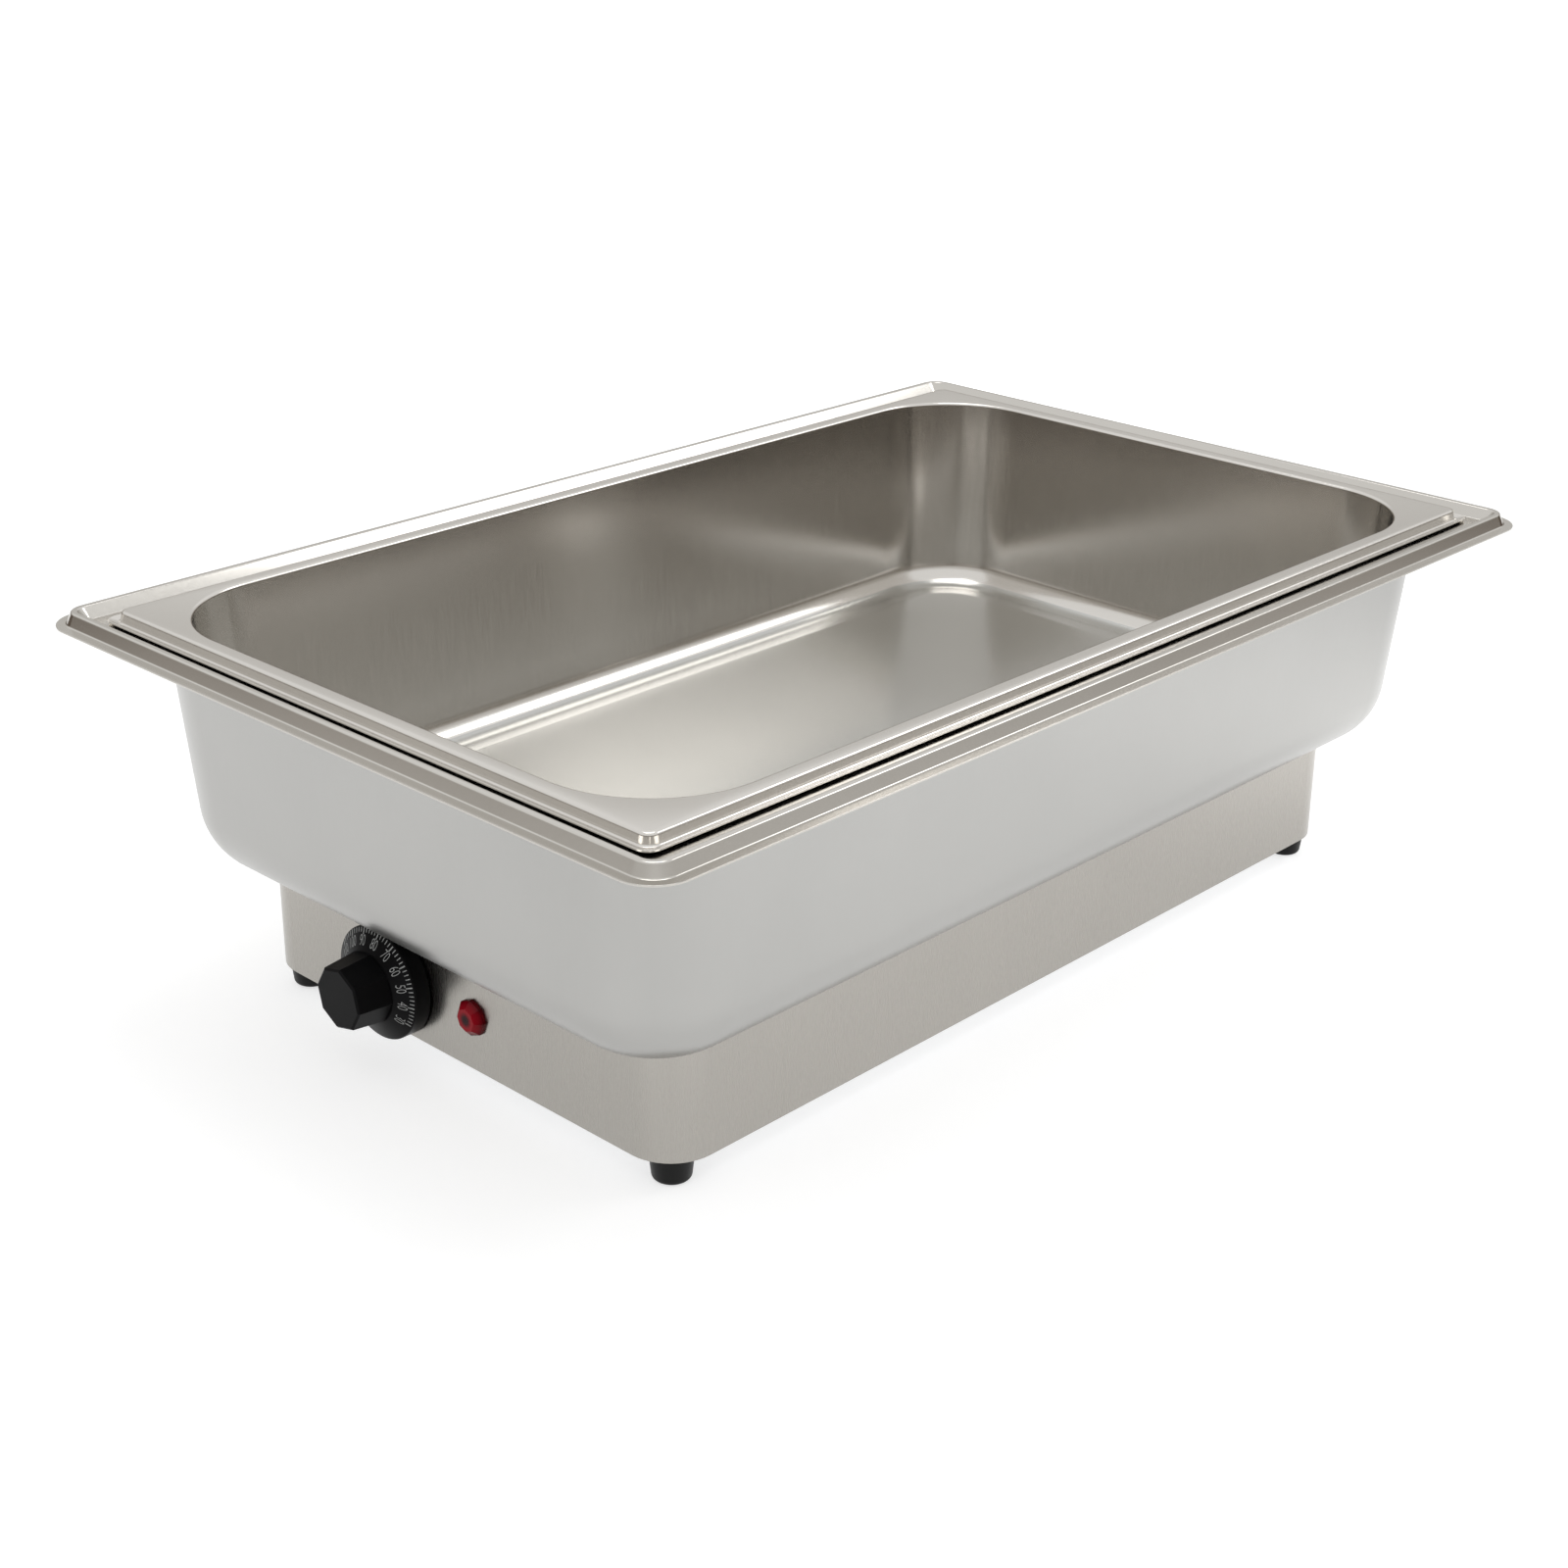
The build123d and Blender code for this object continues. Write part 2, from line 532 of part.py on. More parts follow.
with BuildPart() as cover_nuts:
    ring_nuts(COVER_SCREW_POINTS, M4, FLANGE_UPPER)
cover_nuts.part.label = "cover_nuts"
export_step(cover_nuts.part, "parts/cover_nuts.step")

# ------------------------------------------------------------------ feet
FOOT_NAMES = ["foot_front_left", "foot_front_right", "foot_rear_left", "foot_rear_right"]
FOOT_HEAD_RADIUS = M5 * HEAD_RATIO / 2

for foot_name, (foot_x, foot_y) in zip(FOOT_NAMES, FOOT_POINTS):
    with BuildPart() as foot:
        with BuildSketch(Plane.XY) as sole:
            with Locations((foot_x, foot_y)):
                Circle(FOOT_BOTTOM_RADIUS)
        with BuildSketch(Plane.XY.offset(COVER_UNDER)) as crown:
            with Locations((foot_x, foot_y)):
                Circle(FOOT_TOP_RADIUS)
        loft([sole.sketch, crown.sketch])
        fillet(edges().group_by(Axis.Z)[0], FOOT_EDGE)
        pegs([(foot_x, foot_y)], M5 / 2 + HOLE_GAP, 0, COVER_UNDER, Mode.SUBTRACT)
        pegs([(foot_x, foot_y)], FOOT_HEAD_RADIUS + FOOT_SEAT_GAP, 0, COVER_UNDER - FOOT_SEAT,
             Mode.SUBTRACT)
    foot.part.label = foot_name
    export_step(foot.part, f"parts/{foot_name}.step")

with BuildPart() as foot_screws:
    screw_up(FOOT_POINTS, M5, COVER_UNDER - FOOT_SEAT, FLANGE_UPPER + M5 * NUT_DEPTH_RATIO)
foot_screws.part.label = "foot_screws"
export_step(foot_screws.part, "parts/foot_screws.step")

with BuildPart() as foot_nuts:
    ring_nuts(FOOT_POINTS, M5, FLANGE_UPPER)
foot_nuts.part.label = "foot_nuts"
export_step(foot_nuts.part, "parts/foot_nuts.step")

# ------------------------------------------------------------------ cross rails and pan studs
RAIL_UNDER = PAN_UNDERSIDE - RAIL_SHEET
RAIL_SIDE_X = STUD_X + RAIL_SIDE_END
SHIELD_SCREW_Z = RAIL_UNDER - RAIL_SIDE / 2

for rail_name, rail_y in (("cross_rail_front", -RAIL_Y), ("cross_rail_rear", RAIL_Y)):
    near = rail_y - RAIL_WIDTH / 2
    far = rail_y + RAIL_WIDTH / 2
    with BuildPart() as cross_rail:
        block((-INNER_WIDTH / 2, INNER_WIDTH / 2), (near, far), (RAIL_UNDER, PAN_UNDERSIDE))
        for side in (-1, 1):
            outside = side * INNER_WIDTH / 2
            inside = outside - side * RAIL_SHEET
            block(sorted((inside, outside)), (near, far), (RAIL_UNDER - RAIL_TAB, RAIL_UNDER))
        for edge, inner_edge in ((near, near + RAIL_SHEET), (far - RAIL_SHEET, far)):
            block((-RAIL_SIDE_X, RAIL_SIDE_X), (edge, inner_edge), (RAIL_UNDER - RAIL_SIDE, RAIL_UNDER))
        pegs([(-STUD_X, rail_y), (STUD_X, rail_y)], M6 / 2 + HOLE_GAP, RAIL_UNDER, PAN_UNDERSIDE,
             Mode.SUBTRACT)
        tapped = min(near, far, key=abs)
        for screw_x in (-SHIELD_SCREW_X, SHIELD_SCREW_X):
            disc(screw_x, SHIELD_SCREW_Z, M3 / 2, tapped + RAIL_SHEET, tapped - RAIL_SHEET, Mode.SUBTRACT)
    cross_rail.part.label = rail_name
    export_step(cross_rail.part, f"parts/{rail_name}.step")

STUD_POINTS = [(x, y) for y in (-RAIL_Y, RAIL_Y) for x in (-STUD_X, STUD_X)]

with BuildPart() as pan_studs:
    pegs(STUD_POINTS, M6 / 2, PAN_UNDERSIDE - STUD_LENGTH, PAN_UNDERSIDE)
pan_studs.part.label = "pan_studs"
export_step(pan_studs.part, "parts/pan_studs.step")

with BuildPart() as pan_nuts:
    ring_nuts(STUD_POINTS, M6, RAIL_UNDER - M6 * NUT_DEPTH_RATIO)
pan_nuts.part.label = "pan_nuts"
export_step(pan_nuts.part, "parts/pan_nuts.step")

# ------------------------------------------------------------------ heater
CLAMP_POINTS = [(0, -CLAMP_Y), (0, CLAMP_Y)]
CUTOUT_POINTS = [(-CUTOUT_SPACING / 2, CUTOUT_Y), (CUTOUT_SPACING / 2, CUTOUT_Y)]

with BuildPart() as heat_plate:
    slab(PLATE_WIDTH, PLATE_LENGTH, PLATE_CORNER, PLATE_UNDER, PAN_UNDERSIDE)
    pegs(CLAMP_POINTS, M5 / 2 + HOLE_GAP, PLATE_UNDER, PAN_UNDERSIDE, Mode.SUBTRACT)
    pegs(CUTOUT_POINTS, M3 / 2, PLATE_UNDER, PLATE_UNDER + CUTOUT_SCREW_DEPTH, Mode.SUBTRACT)
heat_plate.part.label = "heat_plate"
export_step(heat_plate.part, "parts/heat_plate.step")

TUBE_ROUTE = [
    (-TUBE_LEG, -TUBE_TAIL, TUBE_Z),
    (-TUBE_LEG, -TUBE_END, TUBE_Z),
    (-TUBE_SIDE, -TUBE_END, TUBE_Z),
    (-TUBE_SIDE, TUBE_END, TUBE_Z),
    (TUBE_SIDE, TUBE_END, TUBE_Z),
    (TUBE_SIDE, -TUBE_END, TUBE_Z),
    (TUBE_LEG, -TUBE_END, TUBE_Z),
    (TUBE_LEG, -TUBE_TAIL, TUBE_Z),
]

with BuildPart() as heating_element:
    with BuildLine() as tube_path:
        FilletPolyline(*TUBE_ROUTE, radius=TUBE_BEND)
    with BuildSketch(Plane(origin=tube_path.line @ 0, z_dir=tube_path.line % 0)) as tube_section:
        Circle(TUBE_DIAMETER / 2)
    sweep(tube_section.sketch, path=tube_path.line)
heating_element.part.label = "heating_element"
export_step(heating_element.part, "parts/heating_element.step")

with BuildPart() as element_pins:
    for leg in (-TUBE_LEG, TUBE_LEG):
        disc(leg, TUBE_Z, PIN_DIAMETER / 2, -TUBE_TAIL, -TUBE_TAIL - PIN_LENGTH)
element_pins.part.label = "element_pins"
export_step(element_pins.part, "parts/element_pins.step")

with BuildPart() as clamp_bars:
    for clamp_y in (-CLAMP_Y, CLAMP_Y):
        block((-CLAMP_LENGTH / 2, CLAMP_LENGTH / 2), (clamp_y - CLAMP_WIDTH / 2, clamp_y + CLAMP_WIDTH / 2),
              (CLAMP_UNDER, CLAMP_UPPER))
    pegs(CLAMP_POINTS, M5 / 2 + HOLE_GAP, CLAMP_UNDER, CLAMP_UPPER, Mode.SUBTRACT)
clamp_bars.part.label = "clamp_bars"
export_step(clamp_bars.part, "parts/clamp_bars.step")

with BuildPart() as clamp_studs:
    pegs(CLAMP_POINTS, M5 / 2, CLAMP_UNDER - CLAMP_STUD_TAIL, PAN_UNDERSIDE)
clamp_studs.part.label = "clamp_studs"
export_step(clamp_studs.part, "parts/clamp_studs.step")

with BuildPart() as clamp_nuts:
    ring_nuts(CLAMP_POINTS, M5, CLAMP_UNDER - M5 * NUT_DEPTH_RATIO)
clamp_nuts.part.label = "clamp_nuts"
export_step(clamp_nuts.part, "parts/clamp_nuts.step")

# ------------------------------------------------------------------ heat shield and insulation
SHIELD_HALF = SHIELD_WIDTH / 2

with BuildPart() as heat_shield:
    block((-SHIELD_HALF, SHIELD_HALF), (-SHIELD_Y, SHIELD_Y), (SHIELD_FLOOR, SHIELD_FLOOR + SHIELD_SHEET))
    for side in (-1, 1):
        wall = sorted((side * SHIELD_Y, side * (SHIELD_Y - SHIELD_SHEET)))
        block((-SHIELD_HALF, SHIELD_HALF), wall, (SHIELD_FLOOR, SHIELD_WALL_TOP))
        for screw_x in (-SHIELD_SCREW_X, SHIELD_SCREW_X):
            disc(screw_x, SHIELD_SCREW_Z, M3 / 2 + HOLE_GAP, wall[1], wall[0], Mode.SUBTRACT)
    block((-SHIELD_NOTCH / 2, SHIELD_NOTCH / 2), (-SHIELD_Y, SHIELD_SHEET - SHIELD_Y),
          (SHIELD_FLOOR + SHIELD_SHEET, SHIELD_WALL_TOP), Mode.SUBTRACT)
heat_shield.part.label = "heat_shield"
export_step(heat_shield.part, "parts/heat_shield.step")

with BuildPart() as insulation_mat:
    slab(SHIELD_WIDTH - 2 * MAT_GAP, 2 * (SHIELD_Y - SHIELD_SHEET - MAT_GAP), PLATE_CORNER,
         SHIELD_FLOOR + SHIELD_SHEET, SHIELD_FLOOR + SHIELD_SHEET + MAT_THICKNESS)
insulation_mat.part.label = "insulation_mat"
export_step(insulation_mat.part, "parts/insulation_mat.step")

with BuildPart() as shield_screws:
    for side in (-1, 1):
        for screw_x in (-SHIELD_SCREW_X, SHIELD_SCREW_X):
            head_start = side * (SHIELD_Y - SHIELD_SHEET)
            head_end = head_start - side * M3 * HEAD_DEPTH_RATIO
            tip = side * (SHIELD_Y + RAIL_SHEET)
            head_radius = M3 * HEAD_RATIO / 2
            disc(screw_x, SHIELD_SCREW_Z, head_radius, max(head_start, head_end), min(head_start, head_end))
            disc(screw_x, SHIELD_SCREW_Z, M3 / 2, max(head_start, tip), min(head_start, tip))
shield_screws.part.label = "shield_screws"
export_step(shield_screws.part, "parts/shield_screws.step")

# ------------------------------------------------------------------ thermostat
BRACKET_BACK = PANEL_INSIDE + BRACKET_SHEET
CASE_BACK = BRACKET_BACK + CASE_DEPTH
SHAFT_BORE = SHAFT_RADIUS + SHAFT_CLEARANCE
SHAFT_BACK = BRACKET_BACK + SHAFT_SEAT
SHAFT_TIP = PANEL - SHAFT_PROUD
BUSH_TIP = PANEL - BUSH_PROUD
BOSS_BACK = BUSH_TIP - BOSS_GAP
PANEL_SCREWS = [DIAL_X - SCREW_SPACING / 2, DIAL_X + SCREW_SPACING / 2]
BLADE_POINTS = [DIAL_X - BLADE_PITCH, DIAL_X, DIAL_X + BLADE_PITCH]

with BuildPart() as thermostat_bracket:
    block((DIAL_X - BRACKET_WIDTH / 2, DIAL_X + BRACKET_WIDTH / 2), (PANEL_INSIDE, BRACKET_BACK),
          (DIAL_Z - BRACKET_HEIGHT / 2, DIAL_Z + BRACKET_HEIGHT / 2))
    disc(DIAL_X, DIAL_Z, BUSH_RADIUS, PANEL_INSIDE, BUSH_TIP)
    disc(DIAL_X, DIAL_Z, SHAFT_BORE, BRACKET_BACK, BUSH_TIP, Mode.SUBTRACT)
    for screw_x in PANEL_SCREWS:
        disc(screw_x, DIAL_Z, M4 / 2, BRACKET_BACK, PANEL_INSIDE, Mode.SUBTRACT)
thermostat_bracket.part.label = "thermostat_bracket"
export_step(thermostat_bracket.part, "parts/thermostat_bracket.step")

with BuildPart() as thermostat_case:
    block((DIAL_X - CASE_WIDTH / 2, DIAL_X + CASE_WIDTH / 2), (BRACKET_BACK, CASE_BACK),
          (DIAL_Z - CASE_HEIGHT / 2, DIAL_Z + CASE_HEIGHT / 2))
    fillet(edges().filter_by(Axis.Y), BRACKET_SHEET)
    disc(DIAL_X, DIAL_Z, SHAFT_BORE, SHAFT_BACK + SHAFT_CLEARANCE, BRACKET_BACK, Mode.SUBTRACT)
thermostat_case.part.label = "thermostat_case"
export_step(thermostat_case.part, "parts/thermostat_case.step")

with BuildPart() as thermostat_blades:
    for blade_x in BLADE_POINTS:
        block((blade_x - BLADE_SHEET / 2, blade_x + BLADE_SHEET / 2), (CASE_BACK, CASE_BACK + BLADE_LENGTH),
              (DIAL_Z - BLADE_WIDTH / 2, DIAL_Z + BLADE_WIDTH / 2))
thermostat_blades.part.label = "thermostat_blades"
export_step(thermostat_blades.part, "parts/thermostat_blades.step")

with BuildPart() as thermostat_screws:
    for screw_x in PANEL_SCREWS:
        disc(screw_x, DIAL_Z, M4 * HEAD_RATIO / 2, PANEL, PANEL - M4 * HEAD_DEPTH_RATIO)
        disc(screw_x, DIAL_Z, M4 / 2, BRACKET_BACK, PANEL)
thermostat_screws.part.label = "thermostat_screws"
export_step(thermostat_screws.part, "parts/thermostat_screws.step")


def shaft_profile(radius):
    """Draw the round shaft with its flat uppermost in the sketch that is open."""
    Circle(radius)
    with Locations((0, radius)):
        Rectangle(2 * radius, 2 * SHAFT_FLAT, mode=Mode.SUBTRACT)


with BuildPart() as thermostat_shaft:
    disc(DIAL_X, DIAL_Z, SHAFT_RADIUS, SHAFT_BACK, BUSH_TIP)
    with BuildSketch(panel_plane(DIAL_X, BUSH_TIP, DIAL_Z)) as flatted:
        shaft_profile(SHAFT_RADIUS)
    extrude(flatted.sketch, amount=BUSH_TIP - SHAFT_TIP)
thermostat_shaft.part.label = "thermostat_shaft"
export_step(thermostat_shaft.part, "parts/thermostat_shaft.step")

# ------------------------------------------------------------------ knob
DIAL_BACK = PANEL - KNOB_GAP
DIAL_RIM = DIAL_BACK - DIAL_DEPTH
DIAL_FACE = DIAL_RIM - DIAL_RISE
GRIP_TIP = DIAL_FACE - GRIP_LENGTH

with BuildPart() as knob:
    disc(DIAL_X, DIAL_Z, DIAL_RADIUS, DIAL_BACK, DIAL_RIM)
    cone(DIAL_X, DIAL_Z, (DIAL_RADIUS, GRIP_ROOT), DIAL_RIM, DIAL_FACE)
    fillet(edges().filter_by_position(Axis.Y, DIAL_RIM - DIAL_EDGE, DIAL_RIM + DIAL_EDGE), DIAL_EDGE)
    disc(DIAL_X, DIAL_Z, DIAL_RADIUS - DIAL_WALL, DIAL_BACK, DIAL_RIM + DIAL_WALL, Mode.SUBTRACT)
    cone(DIAL_X, DIAL_Z, (DIAL_RADIUS - DIAL_WALL, GRIP_ROOT - DIAL_WALL), DIAL_RIM + DIAL_WALL,
         DIAL_FACE + DIAL_WALL, Mode.SUBTRACT)
    disc(DIAL_X, DIAL_Z, BOSS_RADIUS, BOSS_BACK, DIAL_FACE)
    with BuildSketch(panel_plane(DIAL_X, DIAL_FACE, DIAL_Z)) as grip_root:
        RegularPolygon(GRIP_ROOT, GRIP_SIDES, rotation=GRIP_TURN)
    with BuildSketch(panel_plane(DIAL_X, GRIP_TIP, DIAL_Z)) as grip_face:
        RegularPolygon(GRIP_FACE, GRIP_SIDES, rotation=GRIP_TURN)
    loft([grip_root.sketch, grip_face.sketch])
    chamfer(edges().group_by(Axis.Y)[0], GRIP_CHAMFER)
    with BuildSketch(panel_plane(DIAL_X, BOSS_BACK, DIAL_Z)) as shaft_bore:
        shaft_profile(SHAFT_RADIUS)
    extrude(shaft_bore.sketch, amount=BOSS_BACK - SHAFT_TIP, mode=Mode.SUBTRACT)
knob.part.label = "knob"
export_step(knob.part, "parts/knob.step")

CLIP_START = (BOSS_BACK + DIAL_FACE + DIAL_WALL + CLIP_WIDTH) / 2

with BuildPart() as knob_clip:
    disc(DIAL_X, DIAL_Z, BOSS_RADIUS + CLIP_SHEET, CLIP_START, CLIP_START - CLIP_WIDTH)
    disc(DIAL_X, DIAL_Z, BOSS_RADIUS, CLIP_START, CLIP_START - CLIP_WIDTH, Mode.SUBTRACT)
    block((DIAL_X - CLIP_SLOT / 2, DIAL_X + CLIP_SLOT / 2), (CLIP_START - CLIP_WIDTH, CLIP_START),
          (DIAL_Z, DIAL_Z + BOSS_RADIUS + 2 * CLIP_SHEET), Mode.SUBTRACT)
knob_clip.part.label = "knob_clip"
export_step(knob_clip.part, "parts/knob_clip.step")

# ------------------------------------------------------------------ indicator lamp
LENS_FACE = PANEL - LENS_PROUD
LENS_RIM_FACE = PANEL - LENS_RIM
BARREL_BACK = PANEL_INSIDE + BARREL_DEPTH

with BuildPart() as lamp_lens:
    with BuildSketch(panel_plane(LAMP_X, PANEL, LAMP_Z)) as lens_rim:
        RegularPolygon(LENS_RADIUS, LENS_SIDES)
    extrude(lens_rim.sketch, amount=LENS_RIM)
    with BuildSketch(panel_plane(LAMP_X, LENS_RIM_FACE, LAMP_Z)) as lens_root:
        RegularPolygon(LENS_RADIUS, LENS_SIDES)
    with BuildSketch(panel_plane(LAMP_X, LENS_FACE, LAMP_Z)) as lens_face:
        RegularPolygon(LENS_TOP_RADIUS, LENS_SIDES)
    loft([lens_root.sketch, lens_face.sketch])
    disc(LAMP_X, LAMP_Z, BARREL_RADIUS, PANEL, LENS_RIM_FACE, Mode.SUBTRACT)
    disc(LAMP_X, LAMP_Z, LENS_TOP_RADIUS - 2 * LENS_WALL, LENS_RIM_FACE, LENS_FACE + LENS_WALL,
         Mode.SUBTRACT)
lamp_lens.part.label = "lamp_lens"
export_step(lamp_lens.part, "parts/lamp_lens.step")

with BuildPart() as lamp_body:
    disc(LAMP_X, LAMP_Z, BARREL_RADIUS, BARREL_BACK, LENS_RIM_FACE)
lamp_body.part.label = "lamp_body"
export_step(lamp_body.part, "parts/lamp_body.step")

with BuildPart() as lamp_nut:
    with BuildSketch(panel_plane(LAMP_X, PANEL_INSIDE + LAMP_NUT_DEPTH, LAMP_Z)) as nut_outline:
        RegularPolygon(LAMP_NUT_SIZE / 2, 6, major_radius=False)
        Circle(BARREL_RADIUS, mode=Mode.SUBTRACT)
    extrude(nut_outline.sketch, amount=LAMP_NUT_DEPTH)
lamp_nut.part.label = "lamp_nut"
export_step(lamp_nut.part, "parts/lamp_nut.step")

LAMP_BLADE_POINTS = [LAMP_X - LAMP_BLADE_PITCH / 2, LAMP_X + LAMP_BLADE_PITCH / 2]

with BuildPart() as lamp_blades:
    for blade_x in LAMP_BLADE_POINTS:
        block((blade_x - BLADE_SHEET / 2, blade_x + BLADE_SHEET / 2),
              (BARREL_BACK, BARREL_BACK + BLADE_LENGTH),
              (LAMP_Z - LAMP_BLADE_WIDTH / 2, LAMP_Z + LAMP_BLADE_WIDTH / 2))
lamp_blades.part.label = "lamp_blades"
export_step(lamp_blades.part, "parts/lamp_blades.step")

# ------------------------------------------------------------------ sensor bulb
BULB_Z = PLATE_UNDER - BULB_DIAMETER / 2
BULB_FRONT = -BULB_LENGTH / 2

with BuildPart() as sensor_bulb:
    disc(BULB_X, BULB_Z, BULB_DIAMETER / 2, BULB_LENGTH / 2, BULB_FRONT)
sensor_bulb.part.label = "sensor_bulb"
export_step(sensor_bulb.part, "parts/sensor_bulb.step")

STRAP_HALF = BULB_DIAMETER / 2 + STRAP_SHEET

with BuildPart() as bulb_straps:
    for strap_y in (-STRAP_PITCH / 2, STRAP_PITCH / 2):
        reach = (strap_y - STRAP_WIDTH / 2, strap_y + STRAP_WIDTH / 2)
        block((BULB_X - STRAP_HALF, BULB_X + STRAP_HALF), reach,
              (PLATE_UNDER - BULB_DIAMETER - STRAP_SHEET, PLATE_UNDER))
        block((BULB_X - STRAP_HALF - STRAP_FOOT, BULB_X + STRAP_HALF + STRAP_FOOT), reach,
              (PLATE_UNDER - STRAP_SHEET, PLATE_UNDER))
        block((BULB_X - BULB_DIAMETER / 2, BULB_X + BULB_DIAMETER / 2), reach,
              (PLATE_UNDER - BULB_DIAMETER, PLATE_UNDER), Mode.SUBTRACT)
bulb_straps.part.label = "bulb_straps"
export_step(bulb_straps.part, "parts/bulb_straps.step")

CAPILLARY_EXIT = (DIAL_X + CASE_WIDTH / 4, CASE_BACK, DIAL_Z + 0.3 * CASE_HEIGHT)
CAPILLARY_ROUTE = [
    (BULB_X, BULB_FRONT, BULB_Z),
    (BULB_X, BULB_FRONT - 3 * CAPILLARY_BEND, BULB_Z),
    (BULB_X, BULB_FRONT - 5 * CAPILLARY_BEND, BULB_Z - 0.8 * CAPILLARY_BEND),
    (BULB_X - 0.5 * CAPILLARY_BEND, BULB_FRONT - 8 * CAPILLARY_BEND, BULB_Z - 0.95 * CAPILLARY_BEND),
    (BULB_X - 2 * CAPILLARY_BEND, BULB_FRONT - 11 * CAPILLARY_BEND, BULB_Z - CAPILLARY_BEND),
    (0, -SHIELD_Y - 0.8 * CAPILLARY_BEND, BULB_Z - CAPILLARY_BEND),
    (CAPILLARY_EXIT[0], CASE_BACK + 1.5 * CAPILLARY_BEND, CAPILLARY_EXIT[2]),
    CAPILLARY_EXIT,
]

with BuildPart() as capillary_tube:
    lead(CAPILLARY_ROUTE, CAPILLARY_DIAMETER)
capillary_tube.part.label = "capillary_tube"
export_step(capillary_tube.part, "parts/capillary_tube.step")

# ------------------------------------------------------------------ thermal cut-out
CUTOUT_UNDER = PLATE_UNDER - CUTOUT_FLANGE - CUTOUT_DEPTH
CUTOUT_BLADES = [-CUTOUT_BLADE_PITCH / 2, CUTOUT_BLADE_PITCH / 2]
CUTOUT_BLADE_Z = CUTOUT_UNDER + CUTOUT_BLADE_DROP
CUTOUT_EDGE = CUTOUT_Y - CUTOUT_RADIUS + BLADE_SHEET

with BuildPart() as thermal_cutout:
    block((-CUTOUT_FLANGE_LENGTH / 2, CUTOUT_FLANGE_LENGTH / 2),
          (CUTOUT_Y - CUTOUT_FLANGE_WIDTH / 2, CUTOUT_Y + CUTOUT_FLANGE_WIDTH / 2),
          (PLATE_UNDER - CUTOUT_FLANGE, PLATE_UNDER))
    pegs([(0, CUTOUT_Y)], CUTOUT_RADIUS, CUTOUT_UNDER, PLATE_UNDER)
    pegs(CUTOUT_POINTS, M3 / 2 + HOLE_GAP, PLATE_UNDER - CUTOUT_FLANGE, PLATE_UNDER, Mode.SUBTRACT)
    block((-CUTOUT_RADIUS, CUTOUT_RADIUS), (CUTOUT_Y - CUTOUT_RADIUS, CUTOUT_EDGE),
          (CUTOUT_UNDER, PLATE_UNDER), Mode.SUBTRACT)
thermal_cutout.part.label = "thermal_cutout"
export_step(thermal_cutout.part, "parts/thermal_cutout.step")

with BuildPart() as cutout_blades:
    for blade_x in CUTOUT_BLADES:
        block((blade_x - BLADE_WIDTH / 2, blade_x + BLADE_WIDTH / 2),
              (CUTOUT_EDGE - BLADE_LENGTH, CUTOUT_EDGE),
              (CUTOUT_BLADE_Z - BLADE_SHEET / 2, CUTOUT_BLADE_Z + BLADE_SHEET / 2))
cutout_blades.part.label = "cutout_blades"
export_step(cutout_blades.part, "parts/cutout_blades.step")

with BuildPart() as cutout_screws:
    screw_up(CUTOUT_POINTS, M3, PLATE_UNDER - CUTOUT_FLANGE, PLATE_UNDER + CUTOUT_SCREW_DEPTH)
cutout_screws.part.label = "cutout_screws"
export_step(cutout_screws.part, "parts/cutout_screws.step")

# ------------------------------------------------------------------ mains terminal block
BLOCK_FRONT = BLOCK_Y - BLOCK_WIDTH / 2
BLOCK_BACK = BLOCK_Y + BLOCK_WIDTH / 2
BLOCK_TOP = FLANGE_UPPER + BLOCK_HEIGHT
POLE_Z = FLANGE_UPPER + POLE_HEIGHT
POLE_RADIUS = WIRE_DIAMETER / 2 + WIRE_GAP
POLES = [BLOCK_X + (index - (BLOCK_POLES - 1) / 2) * BLOCK_PITCH for index in range(BLOCK_POLES)]
POLE_SCREWS = [(x, BLOCK_Y + side * POLE_SCREW_OFFSET) for x in POLES for side in (-1, 1)]
BLOCK_SCREWS = [((POLES[0] + POLES[1]) / 2, BLOCK_Y), ((POLES[-1] + POLES[-2]) / 2, BLOCK_Y)]
BLOCK_SCREW_SEAT = BLOCK_TOP - M3

with BuildPart() as terminal_block:
    block((BLOCK_X - BLOCK_LENGTH / 2, BLOCK_X + BLOCK_LENGTH / 2), (BLOCK_FRONT, BLOCK_BACK),
          (FLANGE_UPPER, BLOCK_TOP))
    for pole in POLES:
        disc(pole, POLE_Z, POLE_RADIUS, BLOCK_BACK, BLOCK_FRONT, Mode.SUBTRACT)
    pegs(POLE_SCREWS, M3 / 2, POLE_Z, BLOCK_TOP, Mode.SUBTRACT)
    pegs(BLOCK_SCREWS, M3 / 2 + HOLE_GAP, FLANGE_UPPER, BLOCK_TOP, Mode.SUBTRACT)
    pegs(BLOCK_SCREWS, M3 * HEAD_RATIO / 2 + HOLE_GAP, BLOCK_SCREW_SEAT, BLOCK_TOP, Mode.SUBTRACT)
terminal_block.part.label = "terminal_block"
export_step(terminal_block.part, "parts/terminal_block.step")

with BuildPart() as pole_screws:
    pegs(POLE_SCREWS, M3 / 2, POLE_Z + POLE_RADIUS, BLOCK_TOP - POLE_SCREW_TOP)
pole_screws.part.label = "pole_screws"
export_step(pole_screws.part, "parts/pole_screws.step")

with BuildPart() as block_screws:
    pegs(BLOCK_SCREWS, M3 * HEAD_RATIO / 2, BLOCK_SCREW_SEAT, BLOCK_SCREW_SEAT + M3 * HEAD_DEPTH_RATIO)
    pegs(BLOCK_SCREWS, M3 / 2, FLANGE_UPPER, BLOCK_SCREW_SEAT)
block_screws.part.label = "block_screws"
export_step(block_screws.part, "parts/block_screws.step")

